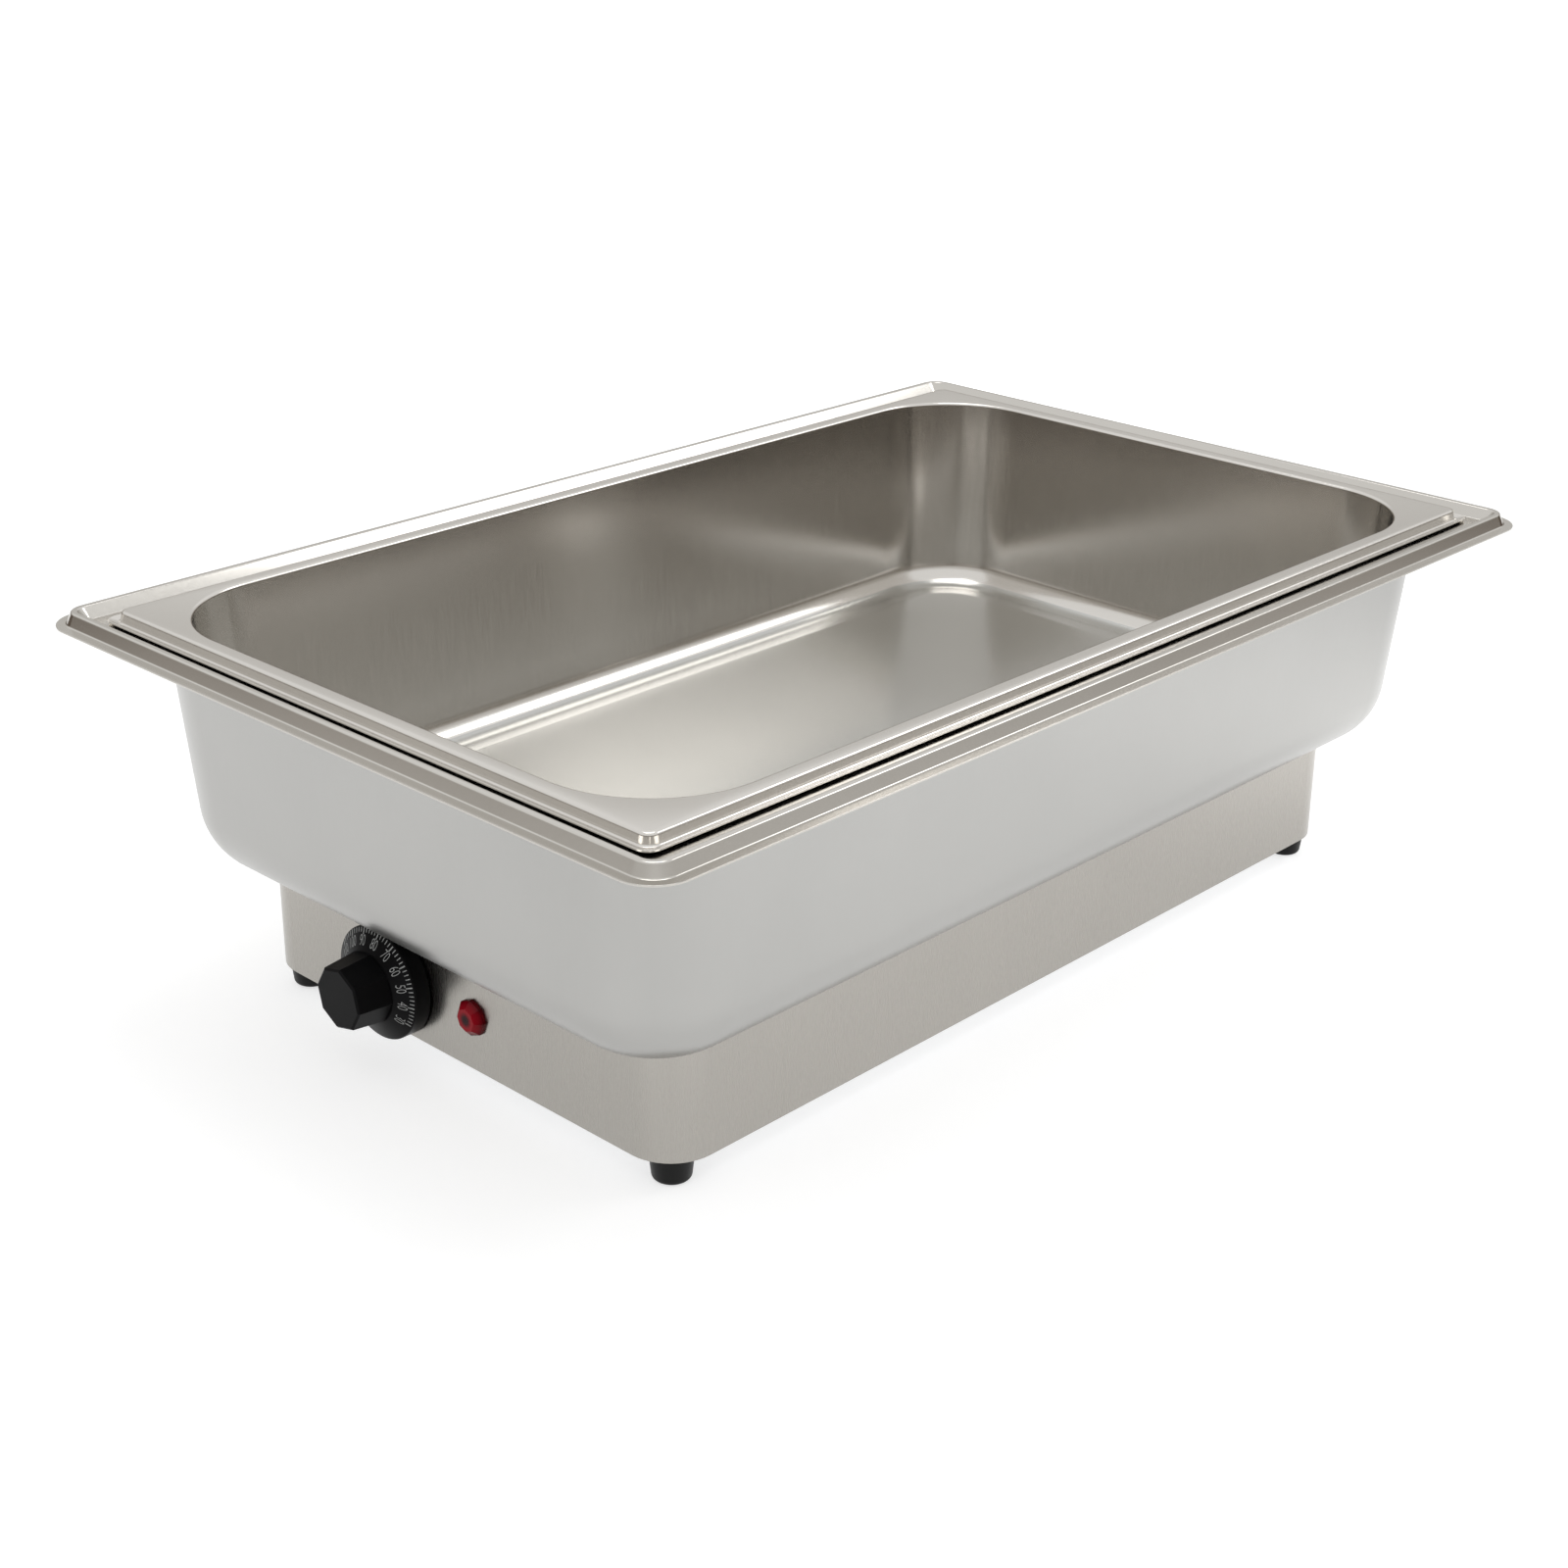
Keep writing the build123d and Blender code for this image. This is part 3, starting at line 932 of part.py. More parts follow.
# ------------------------------------------------------------------ cord gland
with BuildPart() as cord_gland:
    disc(GLAND_X, GLAND_Z, GLAND_HEAD, REAR + GLAND_HEAD_DEPTH, REAR)
    fillet(edges().group_by(Axis.Y)[-1], GLAND_EDGE)
    disc(GLAND_X, GLAND_Z, GLAND_RADIUS, REAR, REAR_INSIDE - GLAND_TAIL)
    disc(GLAND_X, GLAND_Z, GLAND_BORE, REAR + GLAND_HEAD_DEPTH, REAR_INSIDE - GLAND_TAIL, Mode.SUBTRACT)
cord_gland.part.label = "cord_gland"
export_step(cord_gland.part, "parts/cord_gland.step")

with BuildPart() as gland_nut:
    with BuildSketch(panel_plane(GLAND_X, REAR_INSIDE, GLAND_Z)) as gland_nut_outline:
        RegularPolygon(GLAND_NUT / 2, 6, major_radius=False)
        Circle(GLAND_RADIUS, mode=Mode.SUBTRACT)
    extrude(gland_nut_outline.sketch, amount=GLAND_NUT_DEPTH)
gland_nut.part.label = "gland_nut"
export_step(gland_nut.part, "parts/gland_nut.step")

# ------------------------------------------------------------------ earth stud
EARTH_POINT = [(EARTH_X, BLOCK_Y)]
EARTH_RING_TOP = FLANGE_UPPER + EARTH_RING_SHEET

with BuildPart() as earth_stud:
    pegs(EARTH_POINT, M4 / 2, FLANGE_UPPER, FLANGE_UPPER + EARTH_LENGTH)
earth_stud.part.label = "earth_stud"
export_step(earth_stud.part, "parts/earth_stud.step")

with BuildPart() as earth_ring:
    pegs(EARTH_POINT, EARTH_RING_RADIUS, FLANGE_UPPER, EARTH_RING_TOP)
    pegs(EARTH_POINT, M4 / 2, FLANGE_UPPER, EARTH_RING_TOP, Mode.SUBTRACT)
earth_ring.part.label = "earth_ring"
export_step(earth_ring.part, "parts/earth_ring.step")

with BuildPart() as earth_nut:
    ring_nuts(EARTH_POINT, M4, EARTH_RING_TOP)
earth_nut.part.label = "earth_nut"
export_step(earth_nut.part, "parts/earth_nut.step")

# ------------------------------------------------------------------ internal wires
POLE_END = BLOCK_FRONT + WIRE_SEAT
POLE_STUB = BLOCK_FRONT - WIRE_STUB
WIRE_LANE = FLANGE_UPPER + M4 * NUT_DEPTH_RATIO + WIRE_DIAMETER
BLADE_TIP = CASE_BACK + BLADE_LENGTH
BLADE_STUB = BLADE_TIP + WIRE_STUB
LAMP_TIP = BARREL_BACK + BLADE_LENGTH
LAMP_STUB = LAMP_TIP + WIRE_STUB
CUTOUT_TIP = CUTOUT_EDGE - BLADE_LENGTH
CUTOUT_STUB = CUTOUT_TIP - WIRE_STUB
PIN_TIP = -TUBE_TAIL - PIN_LENGTH
PIN_STUB = PIN_TIP - WIRE_STUB
EARTH_RING_EDGE = BLOCK_Y - EARTH_RING_RADIUS
EARTH_END_Z = FLANGE_UPPER + WIRE_DIAMETER / 2 + WIRE_GAP
NEUTRAL_LANE = FLANGE_MIDDLE - 3 * WIRE_DIAMETER
LAMP_LANE = FLANGE_MIDDLE


def side_run(lane_x):
    """Return the points of a wire that lies along one side of the base, from rear to front."""
    first = (WIRE_STATIONS - 1) / 2 * WIRE_STATION_PITCH
    return [
        (lane_x + WIRE_SWAY * (-1) ** station, first - station * WIRE_STATION_PITCH, WIRE_LANE)
        for station in range(WIRE_STATIONS)
    ]


WIRE_ROUTES = {
    "wire_earth": [
        (POLES[0], POLE_END, POLE_Z),
        (POLES[0], POLE_STUB, POLE_Z),
        (POLES[0] - WIRE_BEND, POLE_STUB - WIRE_BEND, WIRE_LANE),
        (EARTH_X, POLE_STUB, EARTH_END_Z + WIRE_DIAMETER),
        (EARTH_X, POLE_STUB + WIRE_BEND / 2, EARTH_END_Z),
        (EARTH_X, EARTH_RING_EDGE, EARTH_END_Z),
    ],
    "wire_live_in": [
        (POLES[1], POLE_END, POLE_Z),
        (POLES[1], POLE_STUB, POLE_Z),
        (POLES[1] - 3 * WIRE_BEND, POLE_STUB - 2 * WIRE_BEND, POLE_Z),
        (-4 * WIRE_BEND, POLE_STUB - 2.2 * WIRE_BEND, POLE_Z),
        *side_run(-FLANGE_MIDDLE),
        (1.8 * WIRE_BEND - FLANGE_MIDDLE, BLADE_STUB + 1.8 * WIRE_BEND, POLE_Z),
        (BLADE_POINTS[0] - 1.4 * WIRE_BEND, BLADE_STUB + 1.2 * WIRE_BEND, DIAL_Z - 0.4 * WIRE_BEND),
        (BLADE_POINTS[0], BLADE_STUB, DIAL_Z),
        (BLADE_POINTS[0], BLADE_TIP, DIAL_Z),
    ],
    "wire_neutral": [
        (POLES[2], POLE_END, POLE_Z),
        (POLES[2], POLE_STUB - 0.4 * WIRE_BEND, POLE_Z),
        (POLES[2] + 2.4 * WIRE_BEND, POLE_STUB - 2 * WIRE_BEND, POLE_Z - 0.2 * WIRE_BEND),
        *side_run(NEUTRAL_LANE),
        (NEUTRAL_LANE - 2 * WIRE_BEND, PIN_STUB - 1.6 * WIRE_BEND, POLE_Z),
        (TUBE_LEG + 2.4 * WIRE_BEND, PIN_STUB - 2 * WIRE_BEND, DIAL_Z),
        (TUBE_LEG + 0.3 * WIRE_BEND, PIN_STUB - 1.2 * WIRE_BEND, TUBE_Z - 0.9 * WIRE_BEND),
        (TUBE_LEG, PIN_STUB, TUBE_Z),
        (TUBE_LEG, PIN_TIP, TUBE_Z),
    ],
    "wire_lamp_neutral": [
        (POLES[3], POLE_END, POLE_Z),
        (POLES[3], POLE_STUB + 0.2 * WIRE_BEND, POLE_Z),
        (POLES[3] + 2.6 * WIRE_BEND, POLE_STUB - 1.2 * WIRE_BEND, POLE_Z - 0.2 * WIRE_BEND),
        *side_run(LAMP_LANE),
        (LAMP_LANE - 2 * WIRE_BEND, LAMP_STUB + 1.2 * WIRE_BEND, POLE_Z),
        (LAMP_X + 3.2 * WIRE_BEND, LAMP_STUB + 0.2 * WIRE_BEND, DIAL_Z - 0.3 * WIRE_BEND),
        (LAMP_BLADE_POINTS[1] + 0.3 * WIRE_BEND, LAMP_STUB + 0.5 * WIRE_BEND, LAMP_Z - WIRE_GAP),
        (LAMP_BLADE_POINTS[1], LAMP_TIP + 0.8 * WIRE_BEND, LAMP_Z),
        (LAMP_BLADE_POINTS[1], LAMP_TIP, LAMP_Z),
    ],
    "wire_lamp_live": [
        (LAMP_BLADE_POINTS[0], LAMP_TIP, LAMP_Z),
        (LAMP_BLADE_POINTS[0], LAMP_TIP + 0.8 * WIRE_BEND, LAMP_Z),
        (LAMP_BLADE_POINTS[0] - 2 * WIRE_BEND, LAMP_STUB + 0.8 * WIRE_BEND, LAMP_Z - 0.9 * WIRE_BEND),
        (BLADE_POINTS[1] + 0.3 * WIRE_BEND, BLADE_STUB + 0.8 * WIRE_BEND, DIAL_Z - 0.7 * WIRE_BEND),
        (BLADE_POINTS[1], BLADE_TIP + 0.8 * WIRE_BEND, DIAL_Z),
        (BLADE_POINTS[1], BLADE_TIP, DIAL_Z),
    ],
    "wire_heat_out": [
        (BLADE_POINTS[2], BLADE_TIP, DIAL_Z),
        (BLADE_POINTS[2], BLADE_TIP + 0.8 * WIRE_BEND, DIAL_Z),
        (BLADE_POINTS[2] + 0.3 * WIRE_BEND, BLADE_STUB + WIRE_BEND, CAPILLARY_EXIT[2] + WIRE_GAP),
        (BLADE_POINTS[2] + 0.8 * WIRE_BEND, PIN_STUB, CAPILLARY_EXIT[2] + WIRE_GAP),
        (CUTOUT_BLADES[0], CUTOUT_STUB - WIRE_BEND, CUTOUT_BLADE_Z - WIRE_GAP),
        (CUTOUT_BLADES[0], CUTOUT_STUB, CUTOUT_BLADE_Z),
        (CUTOUT_BLADES[0], CUTOUT_TIP, CUTOUT_BLADE_Z),
    ],
    "wire_cutout_out": [
        (CUTOUT_BLADES[1], CUTOUT_TIP, CUTOUT_BLADE_Z),
        (CUTOUT_BLADES[1], CUTOUT_STUB, CUTOUT_BLADE_Z),
        (CUTOUT_BLADES[1] - 0.3 * WIRE_BEND, PIN_TIP - 0.8 * WIRE_BEND, TUBE_Z - 0.6 * WIRE_BEND),
        (-TUBE_LEG / 2, PIN_TIP - 1.4 * WIRE_BEND, TUBE_Z - 0.5 * WIRE_BEND),
        (-TUBE_LEG, PIN_TIP - 1.1 * WIRE_BEND, TUBE_Z - WIRE_GAP),
        (-TUBE_LEG, PIN_TIP - 0.5 * WIRE_BEND, TUBE_Z),
        (-TUBE_LEG, PIN_TIP, TUBE_Z),
    ],
}

for wire_name, wire_route in WIRE_ROUTES.items():
    with BuildPart() as wire:
        lead(wire_route, WIRE_DIAMETER)
    wire.part.label = wire_name
    export_step(wire.part, f"parts/{wire_name}.step")
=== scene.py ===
"""Electric food warmer tray: fine sheet-metal forms and finishes around the engineered frame.

Lengths are in millimetres, +Z is up, the floor is at zero and the control panel faces -Y.
"""

import logging
import math
from dataclasses import dataclass, field
from enum import Enum

import bmesh
import bpy
from mathutils import Matrix, Vector

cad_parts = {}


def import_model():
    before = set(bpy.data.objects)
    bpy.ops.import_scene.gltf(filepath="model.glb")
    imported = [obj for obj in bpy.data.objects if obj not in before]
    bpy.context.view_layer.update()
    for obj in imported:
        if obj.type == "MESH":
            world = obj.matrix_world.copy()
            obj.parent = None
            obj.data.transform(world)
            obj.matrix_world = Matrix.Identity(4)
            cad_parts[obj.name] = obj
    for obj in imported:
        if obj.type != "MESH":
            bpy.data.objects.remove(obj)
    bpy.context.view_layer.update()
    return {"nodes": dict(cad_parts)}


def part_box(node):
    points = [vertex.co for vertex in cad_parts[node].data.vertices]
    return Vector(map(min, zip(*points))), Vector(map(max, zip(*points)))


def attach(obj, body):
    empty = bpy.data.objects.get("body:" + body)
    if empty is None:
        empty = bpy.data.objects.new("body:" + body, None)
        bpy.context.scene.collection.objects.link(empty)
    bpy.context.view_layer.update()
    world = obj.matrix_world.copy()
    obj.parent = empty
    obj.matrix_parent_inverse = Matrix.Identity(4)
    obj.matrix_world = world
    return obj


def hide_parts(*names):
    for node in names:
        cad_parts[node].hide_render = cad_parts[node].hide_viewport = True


LOG = logging.getLogger("food_warmer")
MM = 0.001
CORNER_STEPS = 24
SIDE_STEPS = 6
SMALLEST_CORNER = 0.3
CUT_EDGE = 0.2
SHARP_ANGLE = 40.0
GRAIN_PITCH = 900.0
GRAIN_STRETCH = 0.03
WALL_STEPS = 10
WHITE = (1.0, 1.0, 1.0, 1.0)
Piece = bpy.types.Object
Material = bpy.types.Material
Socket = bpy.types.NodeSocket
Point = tuple[float, float, float]
Colour = tuple[float, float, float]
Shades = tuple[tuple[float, Colour], ...]


class Body(Enum):
    """The moving groups of the frame."""

    BASE = "base"
    FOOD_PAN = "food_pan_body"
    KNOB = "control_knob"


# ---------------- shared shapes
@dataclass(frozen=True)
class Loop:
    """One rounded rectangle of a lofted shell.

    Args:
        half_x: Half of the width.
        half_y: Half of the length.
        corner: Radius of the four corners.
    """

    half_x: float
    half_y: float
    corner: float

    def grown(self, amount: float) -> "Loop":
        """Return the loop moved outwards by an amount, or inwards if it is negative."""
        corner = max(self.corner + amount, SMALLEST_CORNER)
        return Loop(self.half_x + amount, self.half_y + amount, corner)

    def points(self, height: float) -> list[Point]:
        """Return the points of the loop, counter-clockwise from above.

        Args:
            height: Level of the loop.

        Returns:
            The same number of points for every loop, so that loops can be joined.
        """
        corners = [(1, 1, 0.0), (-1, 1, 90.0), (-1, -1, 180.0), (1, -1, 270.0)]
        ring: list[Point] = []
        for sign_x, sign_y, start in corners:
            centre_x = sign_x * (self.half_x - self.corner)
            centre_y = sign_y * (self.half_y - self.corner)
            for step in range(CORNER_STEPS + 1):
                angle = math.radians(start + 90.0 * step / CORNER_STEPS)
                ring.append((centre_x + self.corner * math.cos(angle),
                             centre_y + self.corner * math.sin(angle), height))
        return self._with_sides(ring)

    def _with_sides(self, ring: list[Point]) -> list[Point]:
        """Add points along the four straight sides.

        Args:
            ring: Points of the four corners.

        Returns:
            The ring with points set between the corners too.
        """
        filled: list[Point] = []
        per_corner = CORNER_STEPS + 1
        for index, point in enumerate(ring):
            filled.append(point)
            if index % per_corner == CORNER_STEPS:
                after = Vector(ring[(index + 1) % len(ring)])
                before = Vector(point)
                for step in range(1, SIDE_STEPS):
                    filled.append(tuple(before.lerp(after, step / SIDE_STEPS)))
        return filled


@dataclass
class Section:
    """The path that a sheet follows from its outer edge to its centre.

    Args:
        rings: Rings of points so far.
    """

    rings: list[list[Point]] = field(default_factory=list)

    def at(self, loop: Loop, height: float) -> None:
        """Add one ring."""
        self.rings.append(loop.points(height))

    def walls(self, opening: Loop, levels: tuple[float, float], draft: float,
              bends: tuple[float, float], steps: tuple[int, int]) -> float:
        """Add drafted walls from the bend at their top to the fillet at their foot.

        Args:
            opening: Outline where the flat top and the walls would meet without a bend.
            levels: Heights of the flat top and of the floor.
            draft: Lean of the walls in degrees.
            bends: Radii of the bend and of the fillet.
            steps: Steps along the bend and along the fillet.

        Returns:
            Distance from the opening inwards to the fillet's centre.
        """
        top, floor = levels
        bend, fillet = bends
        angle = math.radians(draft)
        self.bend(opening, (bend, top - bend), bend, (90.0, 180.0 + draft), steps[0])
        inward = (fillet + (top - floor - fillet) * math.sin(angle)) / math.cos(angle)
        foot = floor + fillet - fillet * math.sin(angle)
        start = top - bend
        for step in range(1, WALL_STEPS):
            height = start + (foot - start) * step / WALL_STEPS
            self.at(opening.grown(-(top - height) * math.tan(angle)), height)
        self.bend(opening, (-inward, floor + fillet), fillet, (-draft, -90.0), steps[1])
        return inward

    def bend(self, loop: Loop, centre: tuple[float, float], radius: float,
             angles: tuple[float, float], steps: int) -> None:
        """Add the rings of a bend.

        Args:
            loop: Rounded rectangle from which the bend's offsets are measured.
            centre: Outward offset and height of the bend's centre.
            radius: Bend radius.
            angles: First and last angle in degrees, zero pointing outwards and 90 up.
            steps: Number of steps along the bend.
        """
        for step in range(steps + 1):
            angle = math.radians(angles[0] + (angles[1] - angles[0]) * step / steps)
            self.at(loop.grown(centre[0] + radius * math.cos(angle)),
                    centre[1] + radius * math.sin(angle))


def linked(name: str, data: bpy.types.ID) -> Piece:
    """Put an object into the scene.

    Args:
        name: Name of the object.
        data: Its mesh, text, lamp or camera.

    Returns:
        The new object.
    """
    piece = bpy.data.objects.new(name, data)
    bpy.context.scene.collection.objects.link(piece)
    return piece


def mesh_object(name: str, points: list[Point], faces: list[tuple[int, ...]]) -> Piece:
    """Make a smooth mesh object from points in millimetres.

    Args:
        name: Name of the object.
        points: Vertices.
        faces: Vertex numbers of each face.

    Returns:
        The new object, linked to the scene.
    """
    mesh = bpy.data.meshes.new(name)
    mesh.from_pydata([tuple(MM * value for value in point) for point in points], [], faces)
    mesh.validate()
    mesh.shade_smooth()
    return linked(name, mesh)


def loft(name: str, rings: list[list[Point]], cap_last: bool = False,
         closed: bool = False) -> Piece:
    """Join rings of equal length with faces.

    Args:
        name: Name of the object.
        rings: Rings in order.
        cap_last: Close the last ring with a face.
        closed: Join the last ring to the first.

    Returns:
        The lofted object.
    """
    count = len(rings[0])
    points = [point for ring in rings for point in ring]
    faces: list[tuple[int, ...]] = []
    pairs = len(rings) if closed else len(rings) - 1
    for row in range(pairs):
        low = row * count
        high = ((row + 1) % len(rings)) * count
        for column in range(count):
            after = (column + 1) % count
            faces.append((low + column, low + after, high + after, high + column))
    if cap_last:
        last = (len(rings) - 1) * count
        faces.append(tuple(range(last, last + count)))
    return mesh_object(name, points, faces)


def add_modifier(piece: Piece, kind: str, **settings: object) -> None:
    """Add a modifier.

    Args:
        piece: The object that gets it.
        kind: Its type.
        settings: Its options by name.
    """
    modifier = piece.modifiers.new(kind.lower(), kind)
    for key, value in settings.items():
        setattr(modifier, key, value)


def as_sheet(piece: Piece, thickness: float) -> None:
    """Give a surface the thickness of sheet metal, away from its normals."""
    add_modifier(piece, "SOLIDIFY", thickness=thickness * MM, offset=-1.0, use_even_offset=True)
    soften(piece, CUT_EDGE)


def soften(piece: Piece, width: float) -> None:
    """Round the sharp edges of a piece."""
    add_modifier(piece, "BEVEL", width=width * MM, segments=2, limit_method="ANGLE",
                 angle_limit=math.radians(SHARP_ANGLE), harden_normals=True)


def recalculate_normals(piece: Piece) -> None:
    """Turn all the faces of a closed mesh outwards.

    Args:
        piece: The object whose mesh is turned.
    """
    work = bmesh.new()
    work.from_mesh(piece.data)
    bmesh.ops.recalc_face_normals(work, faces=work.faces)
    work.to_mesh(piece.data)
    work.free()


def joined(name: str, parts: list[Piece]) -> Piece:
    """Join several meshes into one object.

    Args:
        name: Name of the joined object.
        parts: Objects to join, which are removed.

    Returns:
        The joined object.
    """
    work = bmesh.new()
    for part in parts:
        work.from_mesh(part.data)
        bpy.data.objects.remove(part)
    mesh = bpy.data.meshes.new(name)
    work.to_mesh(mesh)
    work.free()
    return linked(name, mesh)


def panel_frame(x: float, y: float, z: float) -> Matrix:
    """Return a frame whose Z axis looks out of the control panel and whose X axis points right."""
    return Matrix(((1, 0, 0, x), (0, 0, -1, y), (0, 1, 0, z), (0, 0, 0, 1)))


# ---------------- finishes
def set_stops(ramp: bpy.types.Node, shades: Shades) -> None:
    """Fill a new colour ramp.

    Args:
        ramp: The ramp node.
        shades: Colour at each position from 0 to 1.
    """
    stops = ramp.color_ramp.elements
    for index, (position, colour) in enumerate(shades):
        stop = stops[index] if index < 2 else stops.new(position)
        stop.position = position
        stop.color = (*colour, 1.0)


class Shader:
    """A node material that is built step by step."""

    def __init__(self, name: str) -> None:
        """Make an empty node material with one glossy surface shader."""
        self.material = bpy.data.materials.new(name)
        self.material.use_nodes = True
        self.tree = self.material.node_tree
        self.surface = self.tree.nodes["Principled BSDF"]

    def value(self, socket: str, amount: object) -> None:
        """Set a socket of the surface shader."""
        self.surface.inputs[socket].default_value = amount

    def node(self, kind: str, inputs: dict[str | int, object] | None = None,
             **settings: object) -> bpy.types.Node:
        """Add a node.

        Args:
            kind: Its type.
            inputs: Values of its own sockets.
            settings: Its properties by name.

        Returns:
            The node.
        """
        made = self.tree.nodes.new(kind)
        for key, value in settings.items():
            setattr(made, key, value)
        for key, value in (inputs or {}).items():
            made.inputs[key].default_value = value
        return made

    def link(self, source: Socket, target: Socket) -> None:
        """Join two sockets."""
        self.tree.links.new(source, target)

    def noise(self, scale: float, detail: float = 3.0,
              stretch: Point = (1.0, 1.0, 1.0), roughness: float = 0.55) -> Socket:
        """Add noise in object space.

        Args:
            scale: Cycles per metre.
            detail: Octaves.
            stretch: Factor on each axis; a small factor draws the pattern out along it.
            roughness: Share of the fine octaves.

        Returns:
            The noise value's socket.
        """
        place = self.node("ShaderNodeTexCoord")
        mapping = self.node("ShaderNodeMapping", {"Scale": stretch})
        pattern = self.node("ShaderNodeTexNoise",
                            {"Scale": scale, "Detail": detail, "Roughness": roughness})
        self.link(place.outputs["Object"], mapping.inputs["Vector"])
        self.link(mapping.outputs["Vector"], pattern.inputs["Vector"])
        return pattern.outputs["Fac"]

    def spread(self, source: Socket, low: float, high: float) -> Socket:
        """Map the middle half of a pattern to a range.

        Args:
            source: Socket of the pattern.
            low: Value at a quarter.
            high: Value at three quarters.

        Returns:
            The mapped value's socket.
        """
        ramp = self.node("ShaderNodeMapRange",
                         {"From Min": 0.25, "From Max": 0.75, "To Min": low, "To Max": high})
        self.link(source, ramp.inputs["Value"])
        return ramp.outputs["Result"]

    def tint(self, source: Socket, dark: Colour, light: Colour) -> None:
        """Drive the base colour by a pattern.

        Args:
            source: Socket of the pattern.
            dark: Shade in its low spots.
            light: Shade in its high spots.
        """
        mix = self.node("ShaderNodeMix", {6: (*dark, 1.0), 7: (*light, 1.0)}, data_type="RGBA")
        self.link(self.spread(source, 0.0, 1.0), mix.inputs[0])
        self.link(mix.outputs[2], self.surface.inputs["Base Color"])

    def relief(self, source: Socket, depth: float) -> None:
        """Drive the surface normal by a pattern.

        Args:
            source: Socket of the pattern.
            depth: Depth of the pattern in metres.
        """
        bump = self.node("ShaderNodeBump", {"Distance": depth, "Strength": 1.0})
        self.link(source, bump.inputs["Height"])
        self.link(bump.outputs["Normal"], self.surface.inputs["Normal"])


@dataclass(frozen=True)
class BrushedSteel:
    """Stainless sheet with a fine upright grain.

    Args:
        name: Name of the material.
        shade: Mean colour of the metal.
        gloss: Lowest and highest roughness.
        depth: Depth of the grain in metres.
        stretch: Strength of the stretched highlight, 0 to 1.
        clouding: Lowest and highest share of the mean colour.
    """

    name: str
    shade: Colour
    gloss: tuple[float, float]
    depth: float
    stretch: float = 0.0
    clouding: tuple[float, float] = (0.965, 1.03)

    def make(self) -> Material:
        """Build the material.

        Returns:
            The material.
        """
        shader = Shader(self.name)
        shader.value("Metallic", 1.0)
        dark, light = (tuple(share * part for part in self.shade) for share in self.clouding)
        shader.tint(shader.noise(9.0, 2.0), dark, light)
        lines = shader.noise(GRAIN_PITCH, 3.0, (1.0, 1.0, GRAIN_STRETCH), 0.7)
        shader.link(shader.spread(lines, *self.gloss), shader.surface.inputs["Roughness"])
        shader.relief(lines, self.depth)
        if self.stretch:
            shader.value("Anisotropic", self.stretch)
            shader.value("Anisotropic Rotation", 0.25)
            tangent = shader.node("ShaderNodeTangent", direction_type="RADIAL", axis="Z")
            shader.link(tangent.outputs["Tangent"], shader.surface.inputs["Tangent"])
        return shader.material


@dataclass(frozen=True)
class Moulded:
    """Moulded plastic, rubber or fibre with a fine texture.

    Args:
        name: Name of the material.
        dark: Colour in the low spots.
        light: Colour in the high spots.
        gloss: Lowest and highest roughness.
        texture: Cycles per metre of the surface texture.
        depth: Depth of the texture in metres.
        reflection: Level of the reflection at right angles.
        mottle: Cycles per metre of the colour's pattern.
    """

    name: str
    dark: Colour
    light: Colour
    gloss: tuple[float, float]
    texture: float = 2500.0
    depth: float = 0.00001
    reflection: float = 0.5
    mottle: float = 60.0

    def make(self) -> Material:
        """Build the material.

        Returns:
            The material.
        """
        shader = Shader(self.name)
        shader.value("Specular IOR Level", self.reflection)
        shader.tint(shader.noise(self.mottle, 2.0), self.dark, self.light)
        pores = shader.noise(self.texture, 3.0)
        shader.link(shader.spread(pores, *self.gloss), shader.surface.inputs["Roughness"])
        shader.relief(pores, self.depth)
        return shader.material


@dataclass(frozen=True)
class PlainMetal:
    """Small turned, drawn or plated metal parts.

    Args:
        name: Name of the material.
        dark: Colour in the low spots.
        light: Colour in the high spots.
        gloss: Lowest and highest roughness.
        grain: Cycles per metre of the surface pattern.
        depth: Depth of the pattern in metres.
    """

    name: str
    dark: Colour
    light: Colour
    gloss: tuple[float, float]
    grain: float = 700.0
    depth: float = 0.000005

    def make(self) -> Material:
        """Build the material.

        Returns:
            The material.
        """
        shader = Shader(self.name)
        shader.value("Metallic", 1.0)
        pattern = shader.noise(self.grain, 3.0)
        shader.tint(pattern, self.dark, self.light)
        shader.link(shader.spread(pattern, *self.gloss), shader.surface.inputs["Roughness"])
        shader.relief(pattern, self.depth)
        return shader.material


